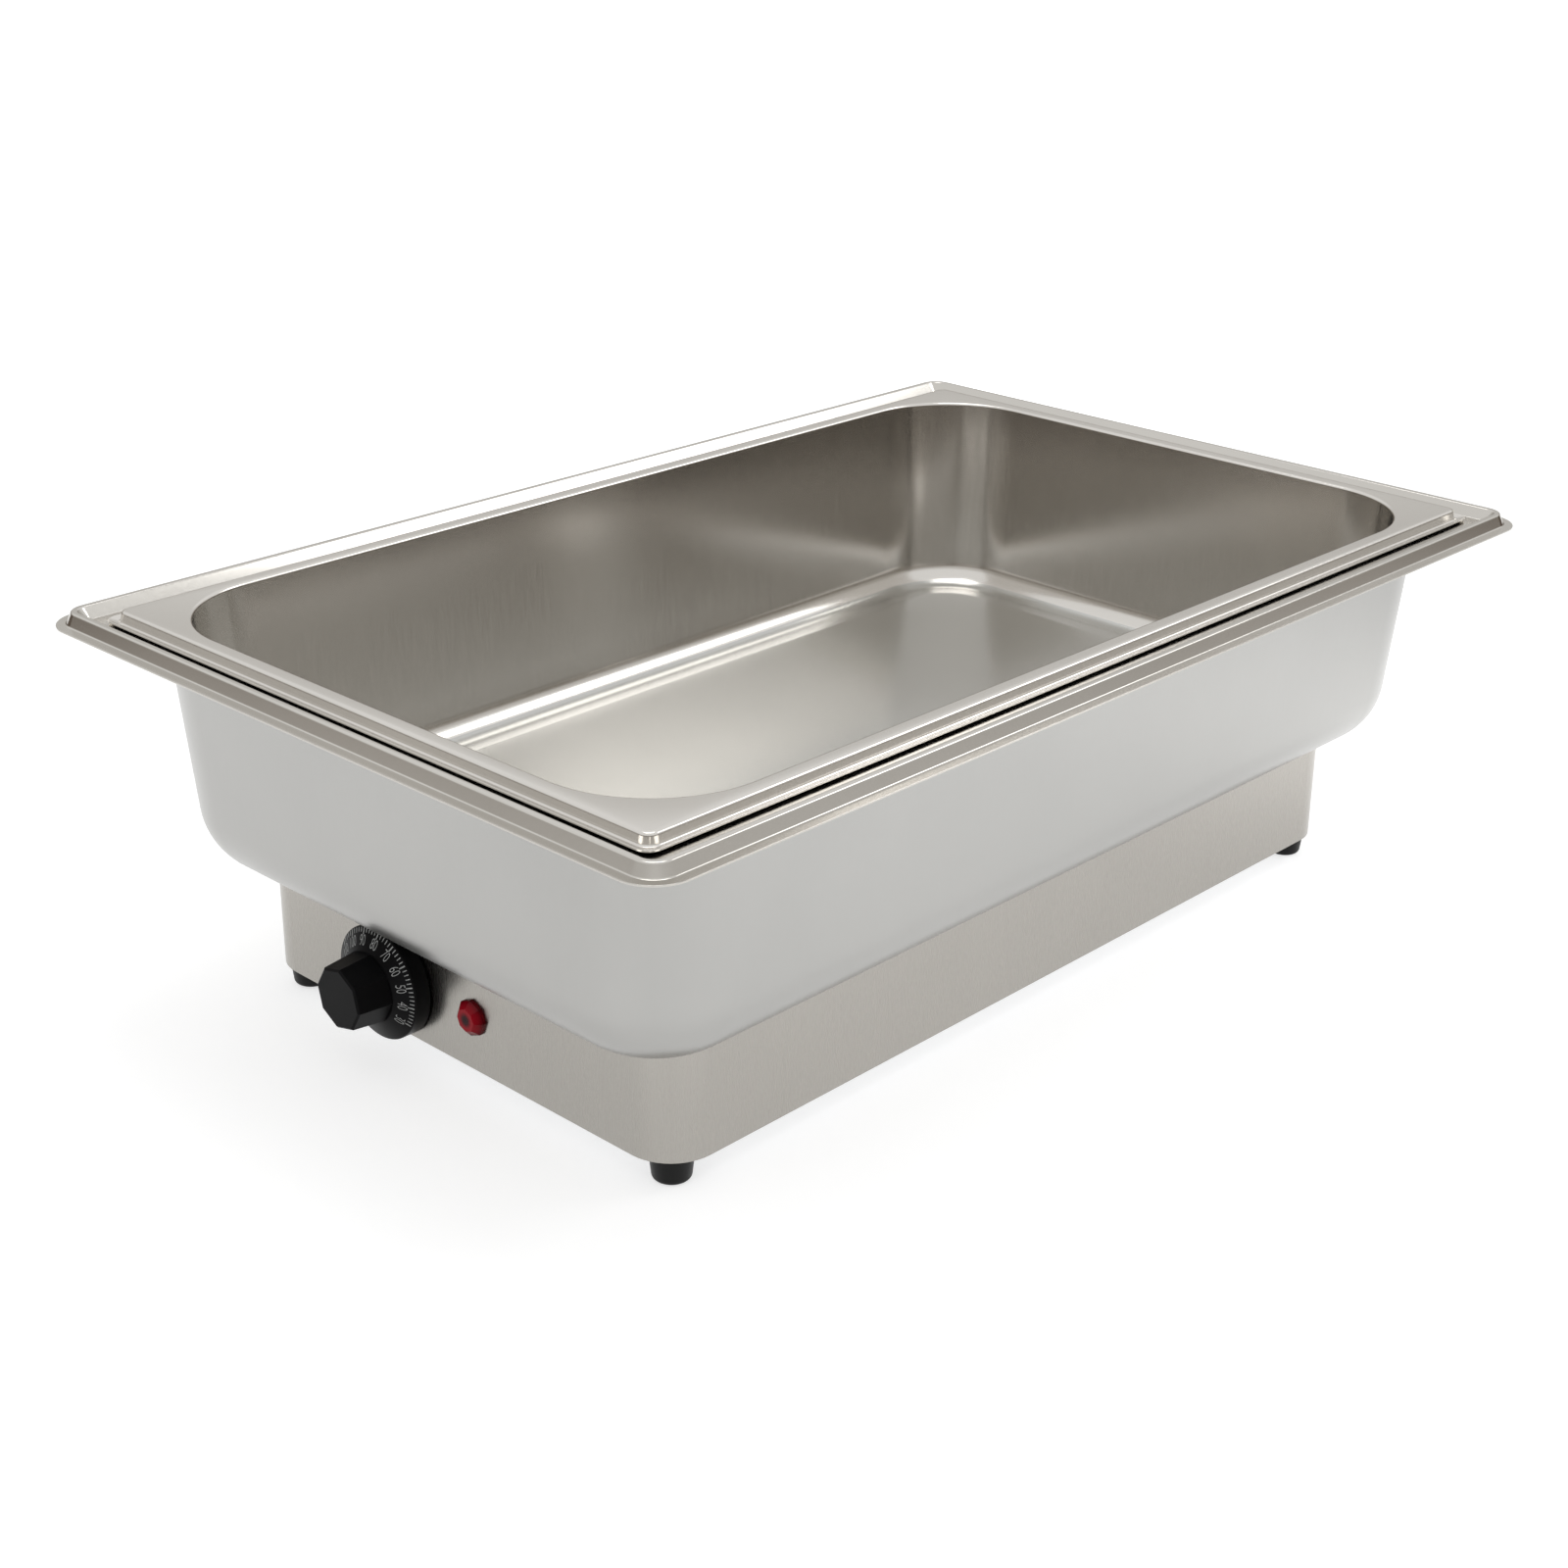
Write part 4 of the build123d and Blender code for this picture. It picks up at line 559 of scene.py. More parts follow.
@dataclass(frozen=True)
class RedLens:
    """Deep red moulded plastic with painted light: a painted shade in its middle and a painted
    highlight ring where the facets would catch the light.

    Args:
        name: Name of the material.
        centre: X and Z of the lens axis in millimetres.
        radius: Outer radius in millimetres.
        shades: Colour by share of the radius: the painted shade in the middle and the painted
            highlight ring.
    """

    name: str
    centre: tuple[float, float] = (14.6, 36.2)
    radius: float = 7.9
    # painted light: dark painted shade at the middle, a bright painted highlight ring on the facets
    shades: Shades = (
        (0.0, (0.012, 0.0008, 0.002)), (0.22, (0.05, 0.001, 0.004)), (0.48, (0.42, 0.005, 0.016)),
        (0.80, (0.26, 0.003, 0.010)), (1.0, (0.08, 0.001, 0.004)))

    def make(self) -> Material:
        """Build the material.

        Returns:
            The material.
        """
        shader = Shader(self.name)
        place = shader.node("ShaderNodeTexCoord")
        mapping = shader.node("ShaderNodeMapping",
                              {"Location": (-self.centre[0] * MM, 0.0, -self.centre[1] * MM),
                               "Scale": (1.0, 0.0, 1.0)})
        length = shader.node("ShaderNodeVectorMath", operation="LENGTH")
        share = shader.node("ShaderNodeMath", {1: self.radius * MM}, operation="DIVIDE")
        ramp = shader.node("ShaderNodeValToRGB")
        set_stops(ramp, self.shades)
        shader.link(place.outputs["Object"], mapping.inputs["Vector"])
        shader.link(mapping.outputs["Vector"], length.inputs[0])
        shader.link(length.outputs["Value"], share.inputs[0])
        shader.link(share.outputs["Value"], ramp.inputs["Fac"])
        shader.link(ramp.outputs["Color"], shader.surface.inputs["Base Color"])
        shader.value("Roughness", 0.12)
        shader.value("Specular IOR Level", 0.1)
        shader.relief(shader.noise(400.0, 2.0), 0.00002)
        return shader.material


Finish = BrushedSteel | Moulded | PlainMetal | RedLens
Pieces = tuple[tuple[Finish, tuple[str, ...]], ...]


def paint(piece: Piece, material: Material) -> None:
    """Give a piece one material in every slot.

    Args:
        piece: The object.
        material: The material.
    """
    slots = piece.data.materials
    if not slots:
        slots.append(material)
    for index in range(len(slots)):
        slots[index] = material


@dataclass
class Workshop:
    """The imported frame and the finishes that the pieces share.

    Args:
        nodes: The frame's objects by name.
        finishes: Materials made so far by name.
    """

    nodes: dict[str, Piece]
    finishes: dict[str, Material] = field(default_factory=dict)

    def finish(self, kind: Finish) -> Material:
        """Make the material of a finish, once.

        Args:
            kind: The finish.

        Returns:
            Its material.
        """
        if kind.name not in self.finishes:
            self.finishes[kind.name] = kind.make()
        return self.finishes[kind.name]

    def dress(self, kind: Finish, *names: str) -> None:
        """Give pieces of the frame a finish.

        Args:
            kind: The finish.
            names: The pieces.
        """
        for name in names:
            paint(self.nodes[name], self.finish(kind))
            LOG.info("dressed %s in %s", name, kind.name)

    def mount(self, piece: Piece, kind: Finish, body: Body, slot: str,
              *stands_for: str) -> None:
        """Finish a new piece and tie it to the frame.

        Args:
            piece: The new object.
            kind: Its finish.
            body: The body that carries it.
            slot: Name of a material slot; not used.
            stands_for: Frame nodes that it replaces.
        """
        paint(piece, self.finish(kind))
        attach(piece, body.value)
        if stands_for:
            self.dress(kind, *stands_for)
            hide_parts(*stands_for)
        LOG.info("built %s", piece.name)

    def second_finish(self, piece: Piece, kind: Finish, above: float = 0.0,
                      below: float = math.inf) -> None:
        """Give the faces of a piece between two levels another material: a second finish on the
        water pan's rim, and a darker copy of the steel as painted shade on the food pan's floor.

        Args:
            piece: The object.
            kind: The finish.
            above: Lower level in millimetres.
            below: Upper level in millimetres.
        """
        piece.data.materials.append(self.finish(kind))
        for face in piece.data.polygons:
            if above * MM < face.center.z < below * MM:
                face.material_index = 1


FOOD_STEEL = BrushedSteel("food pan steel", (0.635, 0.612, 0.578), (0.15, 0.20), 2e-8)
RIM_STEEL = BrushedSteel("rim steel", (0.56, 0.54, 0.505), (0.11, 0.16), 1e-7)
# painted shade: a darker, neutral copy of the food pan steel for the same sheet's floor
FLOOR_PAINTED_SHADE_STEEL = BrushedSteel("food pan floor steel painted shade", (0.52, 0.52, 0.50), (0.17, 0.22), 8e-8)
TUB_STEEL = BrushedSteel("water pan steel", (0.455, 0.452, 0.438), (0.28, 0.33), 3e-7, 0.4)
BASE_STEEL = BrushedSteel("base steel", (0.42, 0.402, 0.372), (0.24, 0.30), 6e-8, 0.3)
ZINC_SHEET = PlainMetal("zinc sheet", (0.50, 0.51, 0.52), (0.62, 0.63, 0.64), (0.35, 0.5), 120.0)
ZINC_PLATE = PlainMetal("zinc plating", (0.56, 0.56, 0.53), (0.68, 0.68, 0.66), (0.25, 0.4))
ALUMINIUM = PlainMetal("heater plate", (0.66, 0.66, 0.66), (0.76, 0.76, 0.75), (0.35, 0.5), 90.0)
SHEATH = PlainMetal("heater sheath", (0.20, 0.19, 0.18), (0.32, 0.30, 0.28), (0.45, 0.6))
COPPER = PlainMetal("capillary copper", (0.62, 0.30, 0.18), (0.78, 0.40, 0.26), (0.25, 0.4))
BRASS = PlainMetal("terminal brass", (0.66, 0.50, 0.22), (0.80, 0.63, 0.32), (0.25, 0.4))
WOOL = Moulded("mineral wool", (0.50, 0.44, 0.28), (0.72, 0.66, 0.46), (0.85, 0.98), 900.0,
               0.0006, 0.2)
BLACK_PLASTIC = Moulded("black plastic", (0.012, 0.012, 0.013), (0.020, 0.020, 0.021),
                        (0.30, 0.42), 3000.0)
KNOB_PLASTIC = Moulded("knob plastic", (0.003, 0.003, 0.0034), (0.005, 0.005, 0.0056),
                       (0.30, 0.40), 3200.0, 0.000008, 0.07)
FOOT_PLASTIC = Moulded("foot plastic", (0.004, 0.004, 0.004), (0.007, 0.007, 0.007),
                       (0.36, 0.46), 2200.0, 0.000008, 0.2)
SWITCH_PLASTIC = Moulded("switch case", (0.10, 0.055, 0.035), (0.16, 0.09, 0.06), (0.35, 0.5))
BLOCK_PLASTIC = Moulded("terminal block plastic", (0.66, 0.64, 0.56), (0.76, 0.74, 0.68),
                        (0.4, 0.55))
PRINT = Moulded("dial print", (0.42, 0.43, 0.42), (0.50, 0.51, 0.50), (0.45, 0.6), 1800.0,
                0.000004)
BROWN_WIRE = Moulded("brown insulation", (0.12, 0.05, 0.025), (0.17, 0.075, 0.04), (0.35, 0.5))
BLUE_WIRE = Moulded("blue insulation", (0.02, 0.09, 0.34), (0.03, 0.13, 0.44), (0.35, 0.5))
GREEN_WIRE = Moulded("green insulation", (0.05, 0.26, 0.07), (0.09, 0.36, 0.10), (0.35, 0.5))
LENS_PAINTED_LIGHT = RedLens("lamp lens painted light")


# ---------------- pans
@dataclass
class FoodPan:
    """The lift-out food pan: rolled skirt, flat flange, drafted walls and a raised floor panel.

    Leans and slopes are in degrees. A hold is the distance to an extra ring that keeps a face
    flat. Faces less than the shaded floor reach above the underside take a darker copy of the
    pan's steel as painted shade.
    """

    width: float = 325.0
    length: float = 530.0
    lip: float = 3.6
    lip_curl: float = 0.9
    lip_corner: float = 6.0
    lip_bend: float = 1.1
    lip_slope: float = 15.0
    skirt_run: float = 0.5
    skirt_drop: float = 4.6
    skirt_lean: float = 6.0
    flange: float = 8.0
    flange_hold: float = 1.0
    opening_corner: float = 50.0
    depth: float = 100.0
    top: float = 173.7
    draft: float = 3.2
    floor_fillet: float = 12.0
    bend: float = 1.4
    panel_inset: float = 9.0
    panel_rise: float = 1.2
    panel_bend: float = 1.5
    panel_foot: float = 1.2
    panel_edge: float = 0.6
    panel_hold: float = 3.0
    floor_reach: float = 3.0
    sheet: float = 0.8

    def build(self) -> Piece:
        """Loft the pan from its lip to the middle of its floor.

        Returns:
            The pan as a sheet.
        """
        section = Section()
        edge = Loop(self.width / 2, self.length / 2, self.lip_corner)
        skirt = edge.grown(-self.lip)
        skirt = Loop(skirt.half_x, skirt.half_y, self.lip_corner - self.skirt_run)
        lip_top = self.top - self.skirt_drop
        section.at(edge, lip_top + self.lip_curl)
        section.at(edge.grown(-self.lip / 3), lip_top + self.lip_curl * 0.75)
        section.bend(skirt, (self.lip_bend, lip_top + self.lip_bend), self.lip_bend,
                     (270.0 + self.lip_slope, 180.0 + self.skirt_lean), steps=6)
        crest = -self.skirt_run - self.bend
        section.bend(skirt, (crest, self.top - self.bend), self.bend,
                     (self.skirt_lean, 90.0), steps=7)
        section.at(skirt.grown(crest - self.flange_hold), self.top)
        rim = self.lip + self.skirt_run + self.flange
        self._well(section, Loop(self.width / 2 - rim, self.length / 2 - rim, self.opening_corner))
        piece = loft("food_pan_shell", section.rings, cap_last=True)
        as_sheet(piece, self.sheet)
        return piece

    def _well(self, section: Section, opening: Loop) -> None:
        """Add the walls and the floor.

        Args:
            section: Path of the sheet so far.
            opening: Outline of the opening in the flange.
        """
        floor = self.top - self.depth + self.sheet
        inward = section.walls(opening, (self.top, floor), self.draft,
                               (self.bend, self.floor_fillet), (7, 12))
        groove = -inward - self.panel_inset
        panel = floor + self.panel_rise
        section.bend(opening, (groove + self.panel_foot, floor + self.panel_bend), self.panel_bend,
                     (270.0, 225.0), steps=4)
        section.bend(opening, (groove - self.panel_rise - self.panel_edge, panel - self.panel_bend),
                     self.panel_bend, (45.0, 90.0), steps=4)
        section.at(opening.grown(groove - self.panel_rise - self.panel_hold), panel)

    def dress(self, shop: Workshop) -> None:
        """Build and finish the pan.

        Args:
            shop: The frame and the finishes.
        """
        piece = self.build()
        shop.mount(piece, FOOD_STEEL, Body.FOOD_PAN, "pan_steel", "food_pan")
        # painted shade: the floor takes a darker, neutral copy of the pan's steel
        shop.second_finish(piece, FLOOR_PAINTED_SHADE_STEEL, below=self.top - self.depth + self.floor_reach)


@dataclass
class WaterPan:
    """The water pan with its stepped rim, in one pressed sheet.

    The step is measured at its inner side, and the ridge stands on it. A run is the distance that
    a side slopes, and a hold that to an extra ring that keeps a face flat. Faces less than
    rim_reach below the shelf take the rim's finish.
    """

    step_half_x: float = 172.8
    step_half_y: float = 272.1
    step_corner: float = 5.6
    step_height: float = 4.7
    step_run: float = 3.2
    step_bend: float = 0.5
    ridge_top: float = 3.4
    ridge_bend: float = 0.9
    ridge_run: float = 1.8
    ridge_drop: float = 5.2
    lip: float = 4.8
    lip_corner: float = 16.7
    lip_bend: float = 0.7
    lip_hold: float = 2.0
    half_x: float = 158.3
    half_y: float = 260.8
    corner: float = 50.0
    draft: float = 5.2
    floor_fillet: float = 32.0
    shelf: float = 168.3
    underside: float = 60.8
    bend: float = 2.4
    floor_hold: float = 4.0
    rim_reach: float = 0.6
    sheet: float = 0.8

    def build(self) -> Piece:
        """Loft the pan from the outer lip to the middle of its floor.

        Returns:
            The pan as a sheet.
        """
        section = Section()
        ridge = self.shelf + self.step_height
        self._lip(section, ridge)
        step = Loop(self.step_half_x, self.step_half_y, self.step_corner)
        slope = math.degrees(math.atan(self.step_run / self.step_height))
        section.bend(step, (self.ridge_bend, ridge - self.ridge_bend), self.ridge_bend,
                     (90.0, 180.0 - slope), steps=6)
        section.bend(step, (-self.step_run - self.step_bend, self.shelf + self.step_bend),
                     self.step_bend, (-slope, -90.0), steps=4)
        inside = Loop(self.half_x, self.half_y, self.corner).grown(-self.sheet)
        floor = self.underside + self.sheet
        inward = section.walls(inside, (self.shelf, floor), self.draft,
                               (self.bend, self.floor_fillet - self.sheet), (8, 18))
        section.at(inside.grown(-inward - self.floor_hold), floor)
        piece = loft("water_pan_shell", section.rings, cap_last=True)
        as_sheet(piece, self.sheet)
        return piece

    def _lip(self, section: Section, ridge: float) -> None:
        """Add the outer lip and the outer side of the ridge.

        Args:
            section: Path of the sheet so far.
            ridge: Height of the ridge.
        """
        lip_top = ridge - self.ridge_drop
        crest = Loop(self.step_half_x + self.ridge_top, self.step_half_y + self.ridge_top,
                     self.step_corner + self.ridge_top)
        foot = crest.grown(self.ridge_run)
        edge = foot.grown(self.lip)
        section.at(Loop(edge.half_x, edge.half_y, self.lip_corner), lip_top)
        section.at(Loop(foot.half_x + self.lip_hold, foot.half_y + self.lip_hold,
                        (self.lip_corner + foot.corner) / 2), lip_top)
        lean = math.degrees(math.atan(self.ridge_run / self.ridge_drop))
        section.bend(foot, (self.lip_bend, lip_top + self.lip_bend), self.lip_bend,
                     (270.0, 180.0 + lean), steps=5)
        section.bend(crest, (-self.ridge_bend, ridge - self.ridge_bend), self.ridge_bend,
                     (lean, 90.0), steps=6)

    def dress(self, shop: Workshop) -> None:
        """Build and finish the pan.

        Args:
            shop: The frame and the finishes.
        """
        piece = self.build()
        shop.mount(piece, TUB_STEEL, Body.BASE, "pan_steel", "water_pan", "water_rim")
        shop.second_finish(piece, RIM_STEEL, above=self.shelf - self.rim_reach)


# ---------------- base and feet
@dataclass
class Fitted:
    """A sub-assembly whose shapes come complete from the frame.

    Its pieces are named by finish.
    """

    pieces: Pieces

    def dress(self, shop: Workshop) -> None:
        """Finish every piece."""
        for kind, names in self.pieces:
            shop.dress(kind, *names)


@dataclass
class BaseHousing(Fitted):
    """The base band under the water pan, with its frame, bottom cover and fastenings."""

    pieces: Pieces = (
        (BASE_STEEL, ("base_housing", "base_frame")),
        (ZINC_SHEET, ("bottom_cover", "cross_rail_front", "cross_rail_rear")),
        (ZINC_PLATE, ("cover_screws", "cover_nuts", "foot_screws", "foot_nuts", "pan_studs",
                      "pan_nuts")),
    )


@dataclass
class Feet:
    """Four tapered feet with a rounded sole edge and a screw recess.

    The wall stands out over the taper between the two radii by swell.
    """

    nodes: tuple[str, ...] = ("foot_front_left", "foot_front_right", "foot_rear_left",
                              "foot_rear_right")
    top_radius: float = 9.2
    bottom_radius: float = 7.8
    height: float = 12.9
    edge: float = 2.2
    edge_steps: int = 6
    swell: float = 0.2
    top_edge: float = 0.2
    recess_radius: float = 5.15
    recess_depth: float = 8.9
    recess_edge: float = 0.4
    bore: float = 2.75
    sides: int = 64
    softening: float = 0.15

    def profile(self) -> list[tuple[float, float]]:
        """Draw a foot's outline, from the bore round to the bore.

        Returns:
            Radius and height of its points.
        """
        rim = [(self.bore, self.recess_depth), (self.recess_radius, self.recess_depth),
               (self.recess_radius, self.recess_edge), (self.recess_radius + self.recess_edge, 0.0)]
        lean = math.atan((self.top_radius - self.bottom_radius) / self.height)
        for step in range(self.edge_steps + 1):
            angle = math.radians(-90.0) + (math.radians(90.0) - lean) * step / self.edge_steps
            rim.append((self.bottom_radius - self.edge + self.edge * math.cos(angle) + self.swell,
                        self.edge + self.edge * math.sin(angle)))
        rim += [(self.top_radius, self.height - self.top_edge),
                (self.top_radius - self.top_edge, self.height), (self.bore, self.height)]
        return rim

    def build(self, node: str) -> Piece:
        """Turn one foot.

        Args:
            node: The frame's foot in whose place it stands.

        Returns:
            The foot.
        """
        low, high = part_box(node)
        centre = (low + high) / 2 / MM
        place = Matrix.Translation((centre.x, centre.y, 0.0))
        turns = [math.tau * side / self.sides for side in range(self.sides)]
        rings = [[tuple(place @ Vector((radius * math.cos(turn), radius * math.sin(turn), height)))
                  for turn in turns] for radius, height in self.profile()]
        piece = loft(f"{node}_moulding", rings, closed=True)
        recalculate_normals(piece)
        soften(piece, self.softening)
        return piece

    def dress(self, shop: Workshop) -> None:
        """Build and finish the feet."""
        for node in self.nodes:
            shop.mount(self.build(node), FOOT_PLASTIC, Body.BASE, "foot_plastic", node)


# ---------------- heater, controls and wiring
@dataclass
class Heater(Fitted):
    """The heating plate with its element, clamps, shield, insulation and sensor."""

    pieces: Pieces = (
        (ALUMINIUM, ("heat_plate",)),
        (SHEATH, ("heating_element", "sensor_bulb")),
        (ZINC_SHEET, ("clamp_bars", "heat_shield", "bulb_straps")),
        (ZINC_PLATE, ("clamp_studs", "clamp_nuts", "shield_screws", "element_pins")),
        (WOOL, ("insulation_mat",)),
        (COPPER, ("capillary_tube",)),
    )


@dataclass
class Controls(Fitted):
    """The thermostat, the pilot lamp and the cut-out behind the panel."""

    pieces: Pieces = (
        (ZINC_SHEET, ("thermostat_bracket",)),
        (SHEATH, ("thermostat_shaft",)),
        (ZINC_PLATE, ("thermostat_screws", "cutout_screws", "knob_clip")),
        (BRASS, ("thermostat_blades", "cutout_blades", "lamp_blades")),
        (SWITCH_PLASTIC, ("thermostat_case", "thermal_cutout", "lamp_body", "lamp_nut")),
        (LENS_PAINTED_LIGHT, ("lamp_lens",)),
    )


@dataclass
class Wiring(Fitted):
    """The terminal block, the earth post, the cord's gland and the wires inside."""

    pieces: Pieces = (
        (BLOCK_PLASTIC, ("terminal_block",)),
        (ZINC_PLATE, ("block_screws", "pole_screws", "earth_stud", "earth_nut")),
        (BRASS, ("earth_ring",)),
        (BLACK_PLASTIC, ("cord_gland", "gland_nut")),
        (BROWN_WIRE, ("wire_cutout_out", "wire_heat_out", "wire_lamp_live", "wire_live_in")),
        (BLUE_WIRE, ("wire_lamp_neutral", "wire_neutral")),
        (GREEN_WIRE, ("wire_earth",)),
    )


@dataclass
class Dial:
    """The temperature knob: a graduated cone with an eight-sided grip.

    Angles are in degrees, zero at the right and 90 at the top. The slope rises from the rim to the
    grip's root. There are as many strokes from one figure to the next as parts. The figures are
    narrower than the plain font's by figure_narrow, and ink is half of the print's thickness.
    """

    centre: tuple[float, float] = (-36.0, 35.9)
    rim: float = -231.3
    radius: float = 24.7
    grip_root: float = 15.5
    rise: float = 4.4
    first: int = 30
    last: int = 110
    figure_every: int = 10
    parts: int = 5
    first_angle: float = -30.0
    step_angle: float = 22.5
    tick_far: float = 24.2
    major_near: float = 21.5
    minor_near: float = 22.3
    major_width: float = 0.55
    minor_width: float = 0.40
    figure_radius: float = 19.2
    figure_size: float = 6.1
    figure_narrow: float = 0.64
    figure_thinning: float = 0.11
    ink: float = 0.03

    def _lift(self, spot: Vector) -> Vector:
        """Lay a spot of the flat print on the dial's slope.

        Args:
            spot: Place on the flat print, with the knob's axis at zero.

        Returns:
            Its place on the set-up dial.
        """
        reach = math.hypot(spot.x, spot.y)
        slope = self.rise / (self.radius - self.grip_root)
        raised = Vector((spot.x, spot.y, spot.z + slope * (self.radius - reach)))
        return panel_frame(self.centre[0], self.rim, self.centre[1]) @ raised

    def build(self) -> Piece:
        """Lay the graduation and the figures on the dial's slope as thin print.

        Returns:
            The print in one object.
        """
        points: list[Point] = []
        faces: list[tuple[int, ...]] = []
        for tick in range((self.last - self.first) // self.figure_every * self.parts + 1):
            angle = math.radians(self.first_angle + self.step_angle * tick / self.parts)
            if tick % self.parts == 0:
                self._bar(points, faces, angle, self.major_near, self.major_width)
            else:
                self._bar(points, faces, angle, self.minor_near, self.minor_width)
        printed = [mesh_object("dial_ticks", points, faces)]
        for number in range(self.first, self.last + 1, self.figure_every):
            steps = (number - self.first) / self.figure_every
            angle = math.radians(self.first_angle + self.step_angle * steps)
            printed.append(self._figure(str(number), angle))
        return joined("dial_print", printed)

    def _bar(self, points: list[Point], faces: list[tuple[int, ...]], angle: float, near: float,
             width: float) -> None:
        """Add one stroke of the graduation as a thin bar.

        Args:
            points: Vertices so far, to which the bar's are added.
            faces: Faces so far, to which the bar's are added.
            angle: Place of the stroke in radians.
            near: Radius of its inner end.
            width: Its width.
        """
        along = Vector((math.cos(angle), math.sin(angle), 0.0))
        across = Vector((-along.y, along.x, 0.0)) * width / 2
        start = len(points)
        for height in (-self.ink, self.ink):
            for corner in (near * along - across, self.tick_far * along - across,
                           self.tick_far * along + across, near * along + across):
                points.append(tuple(self._lift(corner + Vector((0, 0, height)))))
        faces.append((start + 3, start + 2, start + 1, start))
        faces.append((start + 4, start + 5, start + 6, start + 7))
        for side in range(4):
            after = (side + 1) % 4
            faces.append((start + side, start + after, start + 4 + after, start + 4 + side))

    def _figure(self, text: str, turn: float) -> Piece:
        """Set one figure with its top outwards.

        Args:
            text: The figure.
            turn: Its place in radians.

        Returns:
            The figure as a mesh.
        """
        curve = bpy.data.curves.new(f"figure_{text}", "FONT")
        curve.body = text
        curve.size = self.figure_size
        curve.align_x = "CENTER"
        curve.align_y = "CENTER"
        curve.extrude = self.ink
        curve.offset = -self.figure_thinning
        made = linked(f"figure_{text}", curve)
        bpy.context.view_layer.update()
        depsgraph = bpy.context.evaluated_depsgraph_get()
        mesh = bpy.data.meshes.new_from_object(made.evaluated_get(depsgraph))
        bpy.data.objects.remove(made)
        outwards = Vector((math.cos(turn), math.sin(turn), 0.0)) * self.figure_radius
        local = Matrix.Translation(outwards) @ Matrix.Rotation(turn - math.pi / 2, 4, "Z")
        local = local @ Matrix.Diagonal((self.figure_narrow, 1.0, 1.0, 1.0))
        for vertex in mesh.vertices:
            vertex.co = self._lift(local @ vertex.co) * MM
        return linked(f"figure_{text}", mesh)

    def dress(self, shop: Workshop) -> None:
        """Build and finish the knob."""
        shop.dress(KNOB_PLASTIC, "knob")
        shop.mount(self.build(), PRINT, Body.KNOB, "knob_plastic")


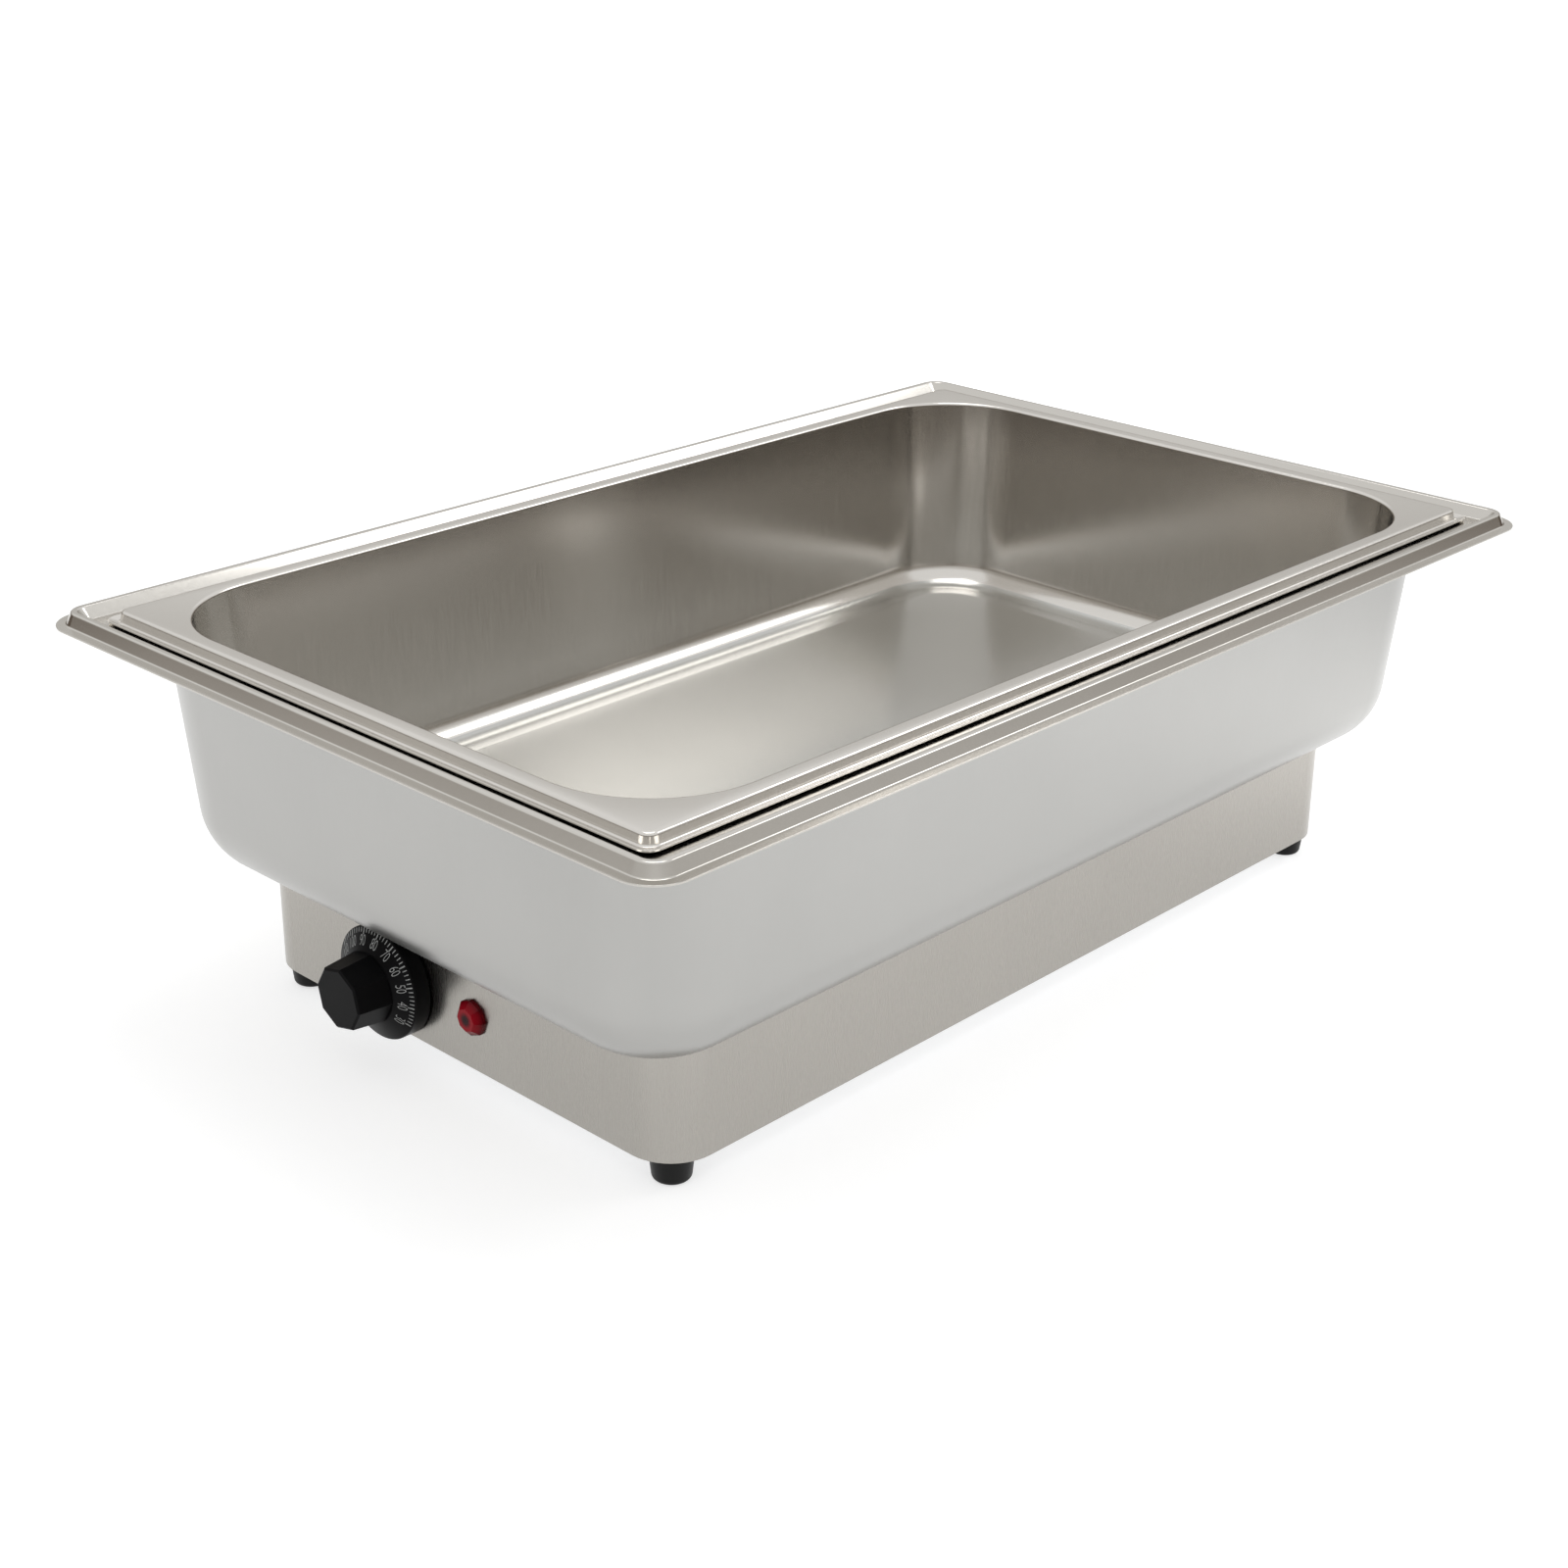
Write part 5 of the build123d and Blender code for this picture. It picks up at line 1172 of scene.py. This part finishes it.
# ---------------- studio
@dataclass
class Studio:
    """A pale floor, a glowing surround that shows only as a painted reflection, the lamps and the
    camera.

    Lamps, reaches and near are in metres, the powers in watts, angles in degrees. Daylight is the
    strength of the surroundings for soft light and as seen directly. The glow of the floor changes
    over glow_reach in the direction glow_turn, and grows to far_glow over far_reach from the set.
    Each lamp has its name, place, power and side. The surround's painted reflection shades go from
    the foot to the top.
    """

    aim: Point = (-6.16, -22.84, 69.76)
    distance: float = 1122.6
    azimuth: float = 43.506
    elevation: float = 23.289
    roll: float = 0.55
    lens: float = 57.12
    sensor: float = 36.0
    near: float = 0.01
    daylight: tuple[float, float] = (0.72, 1.0)
    floor_half: float = 6000.0
    floor_shade: Colour = (0.62, 0.62, 0.62)
    glow_turn: float = 60.0
    glow_reach: tuple[float, float] = (-0.6, 0.9)
    glow: tuple[tuple[float, float], ...] = (
        (0.03, 0.58), (0.25, 0.62), (0.56, 0.67), (0.69, 0.86), (0.82, 0.50))
    far_reach: tuple[float, float] = (0.8, 2.0)
    far_glow: float = 0.70
    soft_lamps: tuple[tuple[str, Point, float, float], ...] = (
        ("overhead", (-0.3, 0.2, 1.9), 7.0, 0.9),
        ("right", (0.85, 1.35, 1.5), 6.0, 0.8))
    lamp_target: Point = (0.0, 0.0, 0.1)
    ring_radius: float = 3500.0
    ring_height: float = 1750.0
    ring_sides: int = 96
    # painted reflection: the surround glows dark brown at its foot and pale at its top
    ring_shades: Shades = (
        (0.0, (0.13, 0.10, 0.08)), (0.32, (0.15, 0.12, 0.095)), (0.42, (0.52, 0.49, 0.46)),
        (0.52, (0.70, 0.69, 0.67)), (0.92, (0.72, 0.71, 0.69)), (1.0, (0.92, 0.92, 0.91)))

    def camera(self) -> None:
        """Set the camera up."""
        data = bpy.data.cameras.new("camera")
        data.lens = self.lens
        data.sensor_width = self.sensor
        data.clip_start = self.near
        camera = linked("camera", data)
        turn, rise, roll = (math.radians(value)
                            for value in (self.azimuth, self.elevation, self.roll))
        back = Vector((math.sin(turn) * math.cos(rise), -math.cos(turn) * math.cos(rise),
                       math.sin(rise)))
        right = (-back).cross(Vector((0, 0, 1))).normalized()
        up = right.cross(-back)
        level = right * math.cos(roll) + up * math.sin(roll)
        upright = up * math.cos(roll) - right * math.sin(roll)
        place = Matrix((level, upright, back)).transposed().to_4x4()
        place.translation = (Vector(self.aim) + back * self.distance) * MM
        camera.matrix_world = place
        bpy.context.scene.camera = camera

    def _seen_directly(self, tree: bpy.types.NodeTree) -> Socket:
        """Add a factor that is one for camera, mirror and glass rays.

        Args:
            tree: The node tree.

        Returns:
            The factor's socket.
        """
        path = tree.nodes.new("ShaderNodeLightPath")
        total = path.outputs["Is Camera Ray"]
        for name in ("Is Glossy Ray", "Is Transmission Ray"):
            either = tree.nodes.new("ShaderNodeMath")
            either.operation = "MAXIMUM"
            tree.links.new(total, either.inputs[0])
            tree.links.new(path.outputs[name], either.inputs[1])
            total = either.outputs["Value"]
        return total

    def world(self) -> None:
        """Fill the surroundings with plain white light."""
        world = bpy.data.worlds.new("studio")
        world.use_nodes = True
        bpy.context.scene.world = world
        tree = world.node_tree
        background = tree.nodes["Background"]
        background.inputs["Color"].default_value = WHITE
        level = tree.nodes.new("ShaderNodeMapRange")
        level.inputs["To Min"].default_value = self.daylight[0]
        level.inputs["To Max"].default_value = self.daylight[1]
        tree.links.new(self._seen_directly(tree), level.inputs["Value"])
        tree.links.new(level.outputs["Result"], background.inputs["Strength"])

    def _glow_across(self, shader: Shader) -> Socket:
        """Add the glow that changes across the floor.

        Args:
            shader: The floor's material.

        Returns:
            The glow's socket.
        """
        place = shader.node("ShaderNodeTexCoord")
        turn = shader.node("ShaderNodeMapping",
                           {"Rotation": (0.0, 0.0, -math.radians(self.glow_turn))})
        split = shader.node("ShaderNodeSeparateXYZ")
        across = shader.node("ShaderNodeMapRange", {"From Min": self.glow_reach[0],
                                                    "From Max": self.glow_reach[1]})
        ramp = shader.node("ShaderNodeValToRGB")
        ramp.color_ramp.interpolation = "EASE"
        set_stops(ramp, tuple((position, (level, level, level)) for position, level in self.glow))
        shader.link(place.outputs["Object"], turn.inputs["Vector"])
        shader.link(turn.outputs["Vector"], split.inputs["Vector"])
        shader.link(split.outputs["X"], across.inputs["Value"])
        shader.link(across.outputs["Result"], ramp.inputs["Fac"])
        return ramp.outputs["Color"]

    def _glow_far(self, shader: Shader) -> Socket:
        """Add the glow that grows with the distance from the set.

        Args:
            shader: The floor's material.

        Returns:
            The glow's socket.
        """
        place = shader.node("ShaderNodeTexCoord")
        reach = shader.node("ShaderNodeVectorMath", operation="LENGTH")
        away = shader.node("ShaderNodeMapRange",
                           {"From Min": self.far_reach[0], "From Max": self.far_reach[1],
                            "To Max": self.far_glow}, interpolation_type="SMOOTHSTEP")
        shader.link(place.outputs["Object"], reach.inputs[0])
        shader.link(reach.outputs["Value"], away.inputs["Value"])
        return away.outputs["Result"]

    def floor(self) -> None:
        """Lay a pale floor that keeps the shadow and glows for what sees it directly."""
        half = self.floor_half
        corners = [(-half, -half, 0.0), (half, -half, 0.0), (half, half, 0.0), (-half, half, 0.0)]
        floor = mesh_object("floor", corners, [(0, 1, 2, 3)])
        shader = Shader("floor")
        shader.value("Base Color", (*self.floor_shade, 1.0))
        shader.value("Roughness", 0.9)
        shader.value("Specular IOR Level", 0.0)
        shader.value("Emission Color", WHITE)
        brighter = shader.node("ShaderNodeMath", operation="MAXIMUM")
        strength = shader.node("ShaderNodeMath", operation="MULTIPLY")
        shader.link(self._glow_across(shader), brighter.inputs[0])
        shader.link(self._glow_far(shader), brighter.inputs[1])
        shader.link(self._seen_directly(shader.tree), strength.inputs[0])
        shader.link(brighter.outputs["Value"], strength.inputs[1])
        shader.link(strength.outputs["Value"], shader.surface.inputs["Emission Strength"])
        paint(floor, shader.material)

    def surround(self) -> None:
        """Stand a low glowing ring far round the set, which shows only in polished metal as a
        painted reflection, dark at its foot and light at its top.
        """
        turns = [math.tau * side / self.ring_sides for side in range(self.ring_sides)]
        rings = [[(self.ring_radius * math.cos(turn), self.ring_radius * math.sin(turn), height)
                  for turn in turns] for height in (0.0, self.ring_height)]
        ring = loft("surround", rings)
        shader = Shader("surround")
        place = shader.node("ShaderNodeTexCoord")
        split = shader.node("ShaderNodeSeparateXYZ")
        level = shader.node("ShaderNodeMath", {1: self.ring_height * MM}, operation="DIVIDE")
        ramp = shader.node("ShaderNodeValToRGB")
        set_stops(ramp, self.ring_shades)
        # the surround glows though it is no lamp: a painted reflection for polished metal
        glow = shader.node("ShaderNodeEmission")
        shader.link(place.outputs["Object"], split.inputs["Vector"])
        shader.link(split.outputs["Z"], level.inputs[0])
        shader.link(level.outputs["Value"], ramp.inputs["Fac"])
        shader.link(ramp.outputs["Color"], glow.inputs["Color"])
        output = shader.tree.nodes["Material Output"]
        shader.link(glow.outputs["Emission"], output.inputs["Surface"])
        shader.tree.nodes.remove(shader.surface)
        ring.visible_camera = False
        ring.visible_diffuse = False
        ring.visible_transmission = False
        ring.visible_shadow = False
        paint(ring, shader.material)

    def lamps(self) -> None:
        """Hang a soft lamp above and one at the right, both aimed at the pan."""
        for name, place, power, size in self.soft_lamps:
            data = bpy.data.lights.new(name, "AREA")
            data.energy = power
            data.shape = "SQUARE"
            data.size = size
            lamp = linked(name, data)
            towards = Vector(self.lamp_target) - Vector(place)
            lamp.location = place
            lamp.rotation_euler = towards.to_track_quat("-Z", "Y").to_euler()

    def build(self) -> None:
        """Build the whole studio."""
        self.world()
        self.floor()
        self.surround()
        self.lamps()
        self.camera()
        bpy.context.scene.view_settings.view_transform = "Standard"
        LOG.info("built the studio")


def main() -> None:
    """Build every part of the scene in order."""
    logging.basicConfig(level=logging.INFO)
    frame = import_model()
    shop = Workshop(frame["nodes"])
    for assembly in (BaseHousing(), Heater(), Controls(), Wiring(), FoodPan(), WaterPan(), Feet(),
                     Dial()):
        assembly.dress(shop)
    Studio().build()


if __name__ == "__main__":
    main()
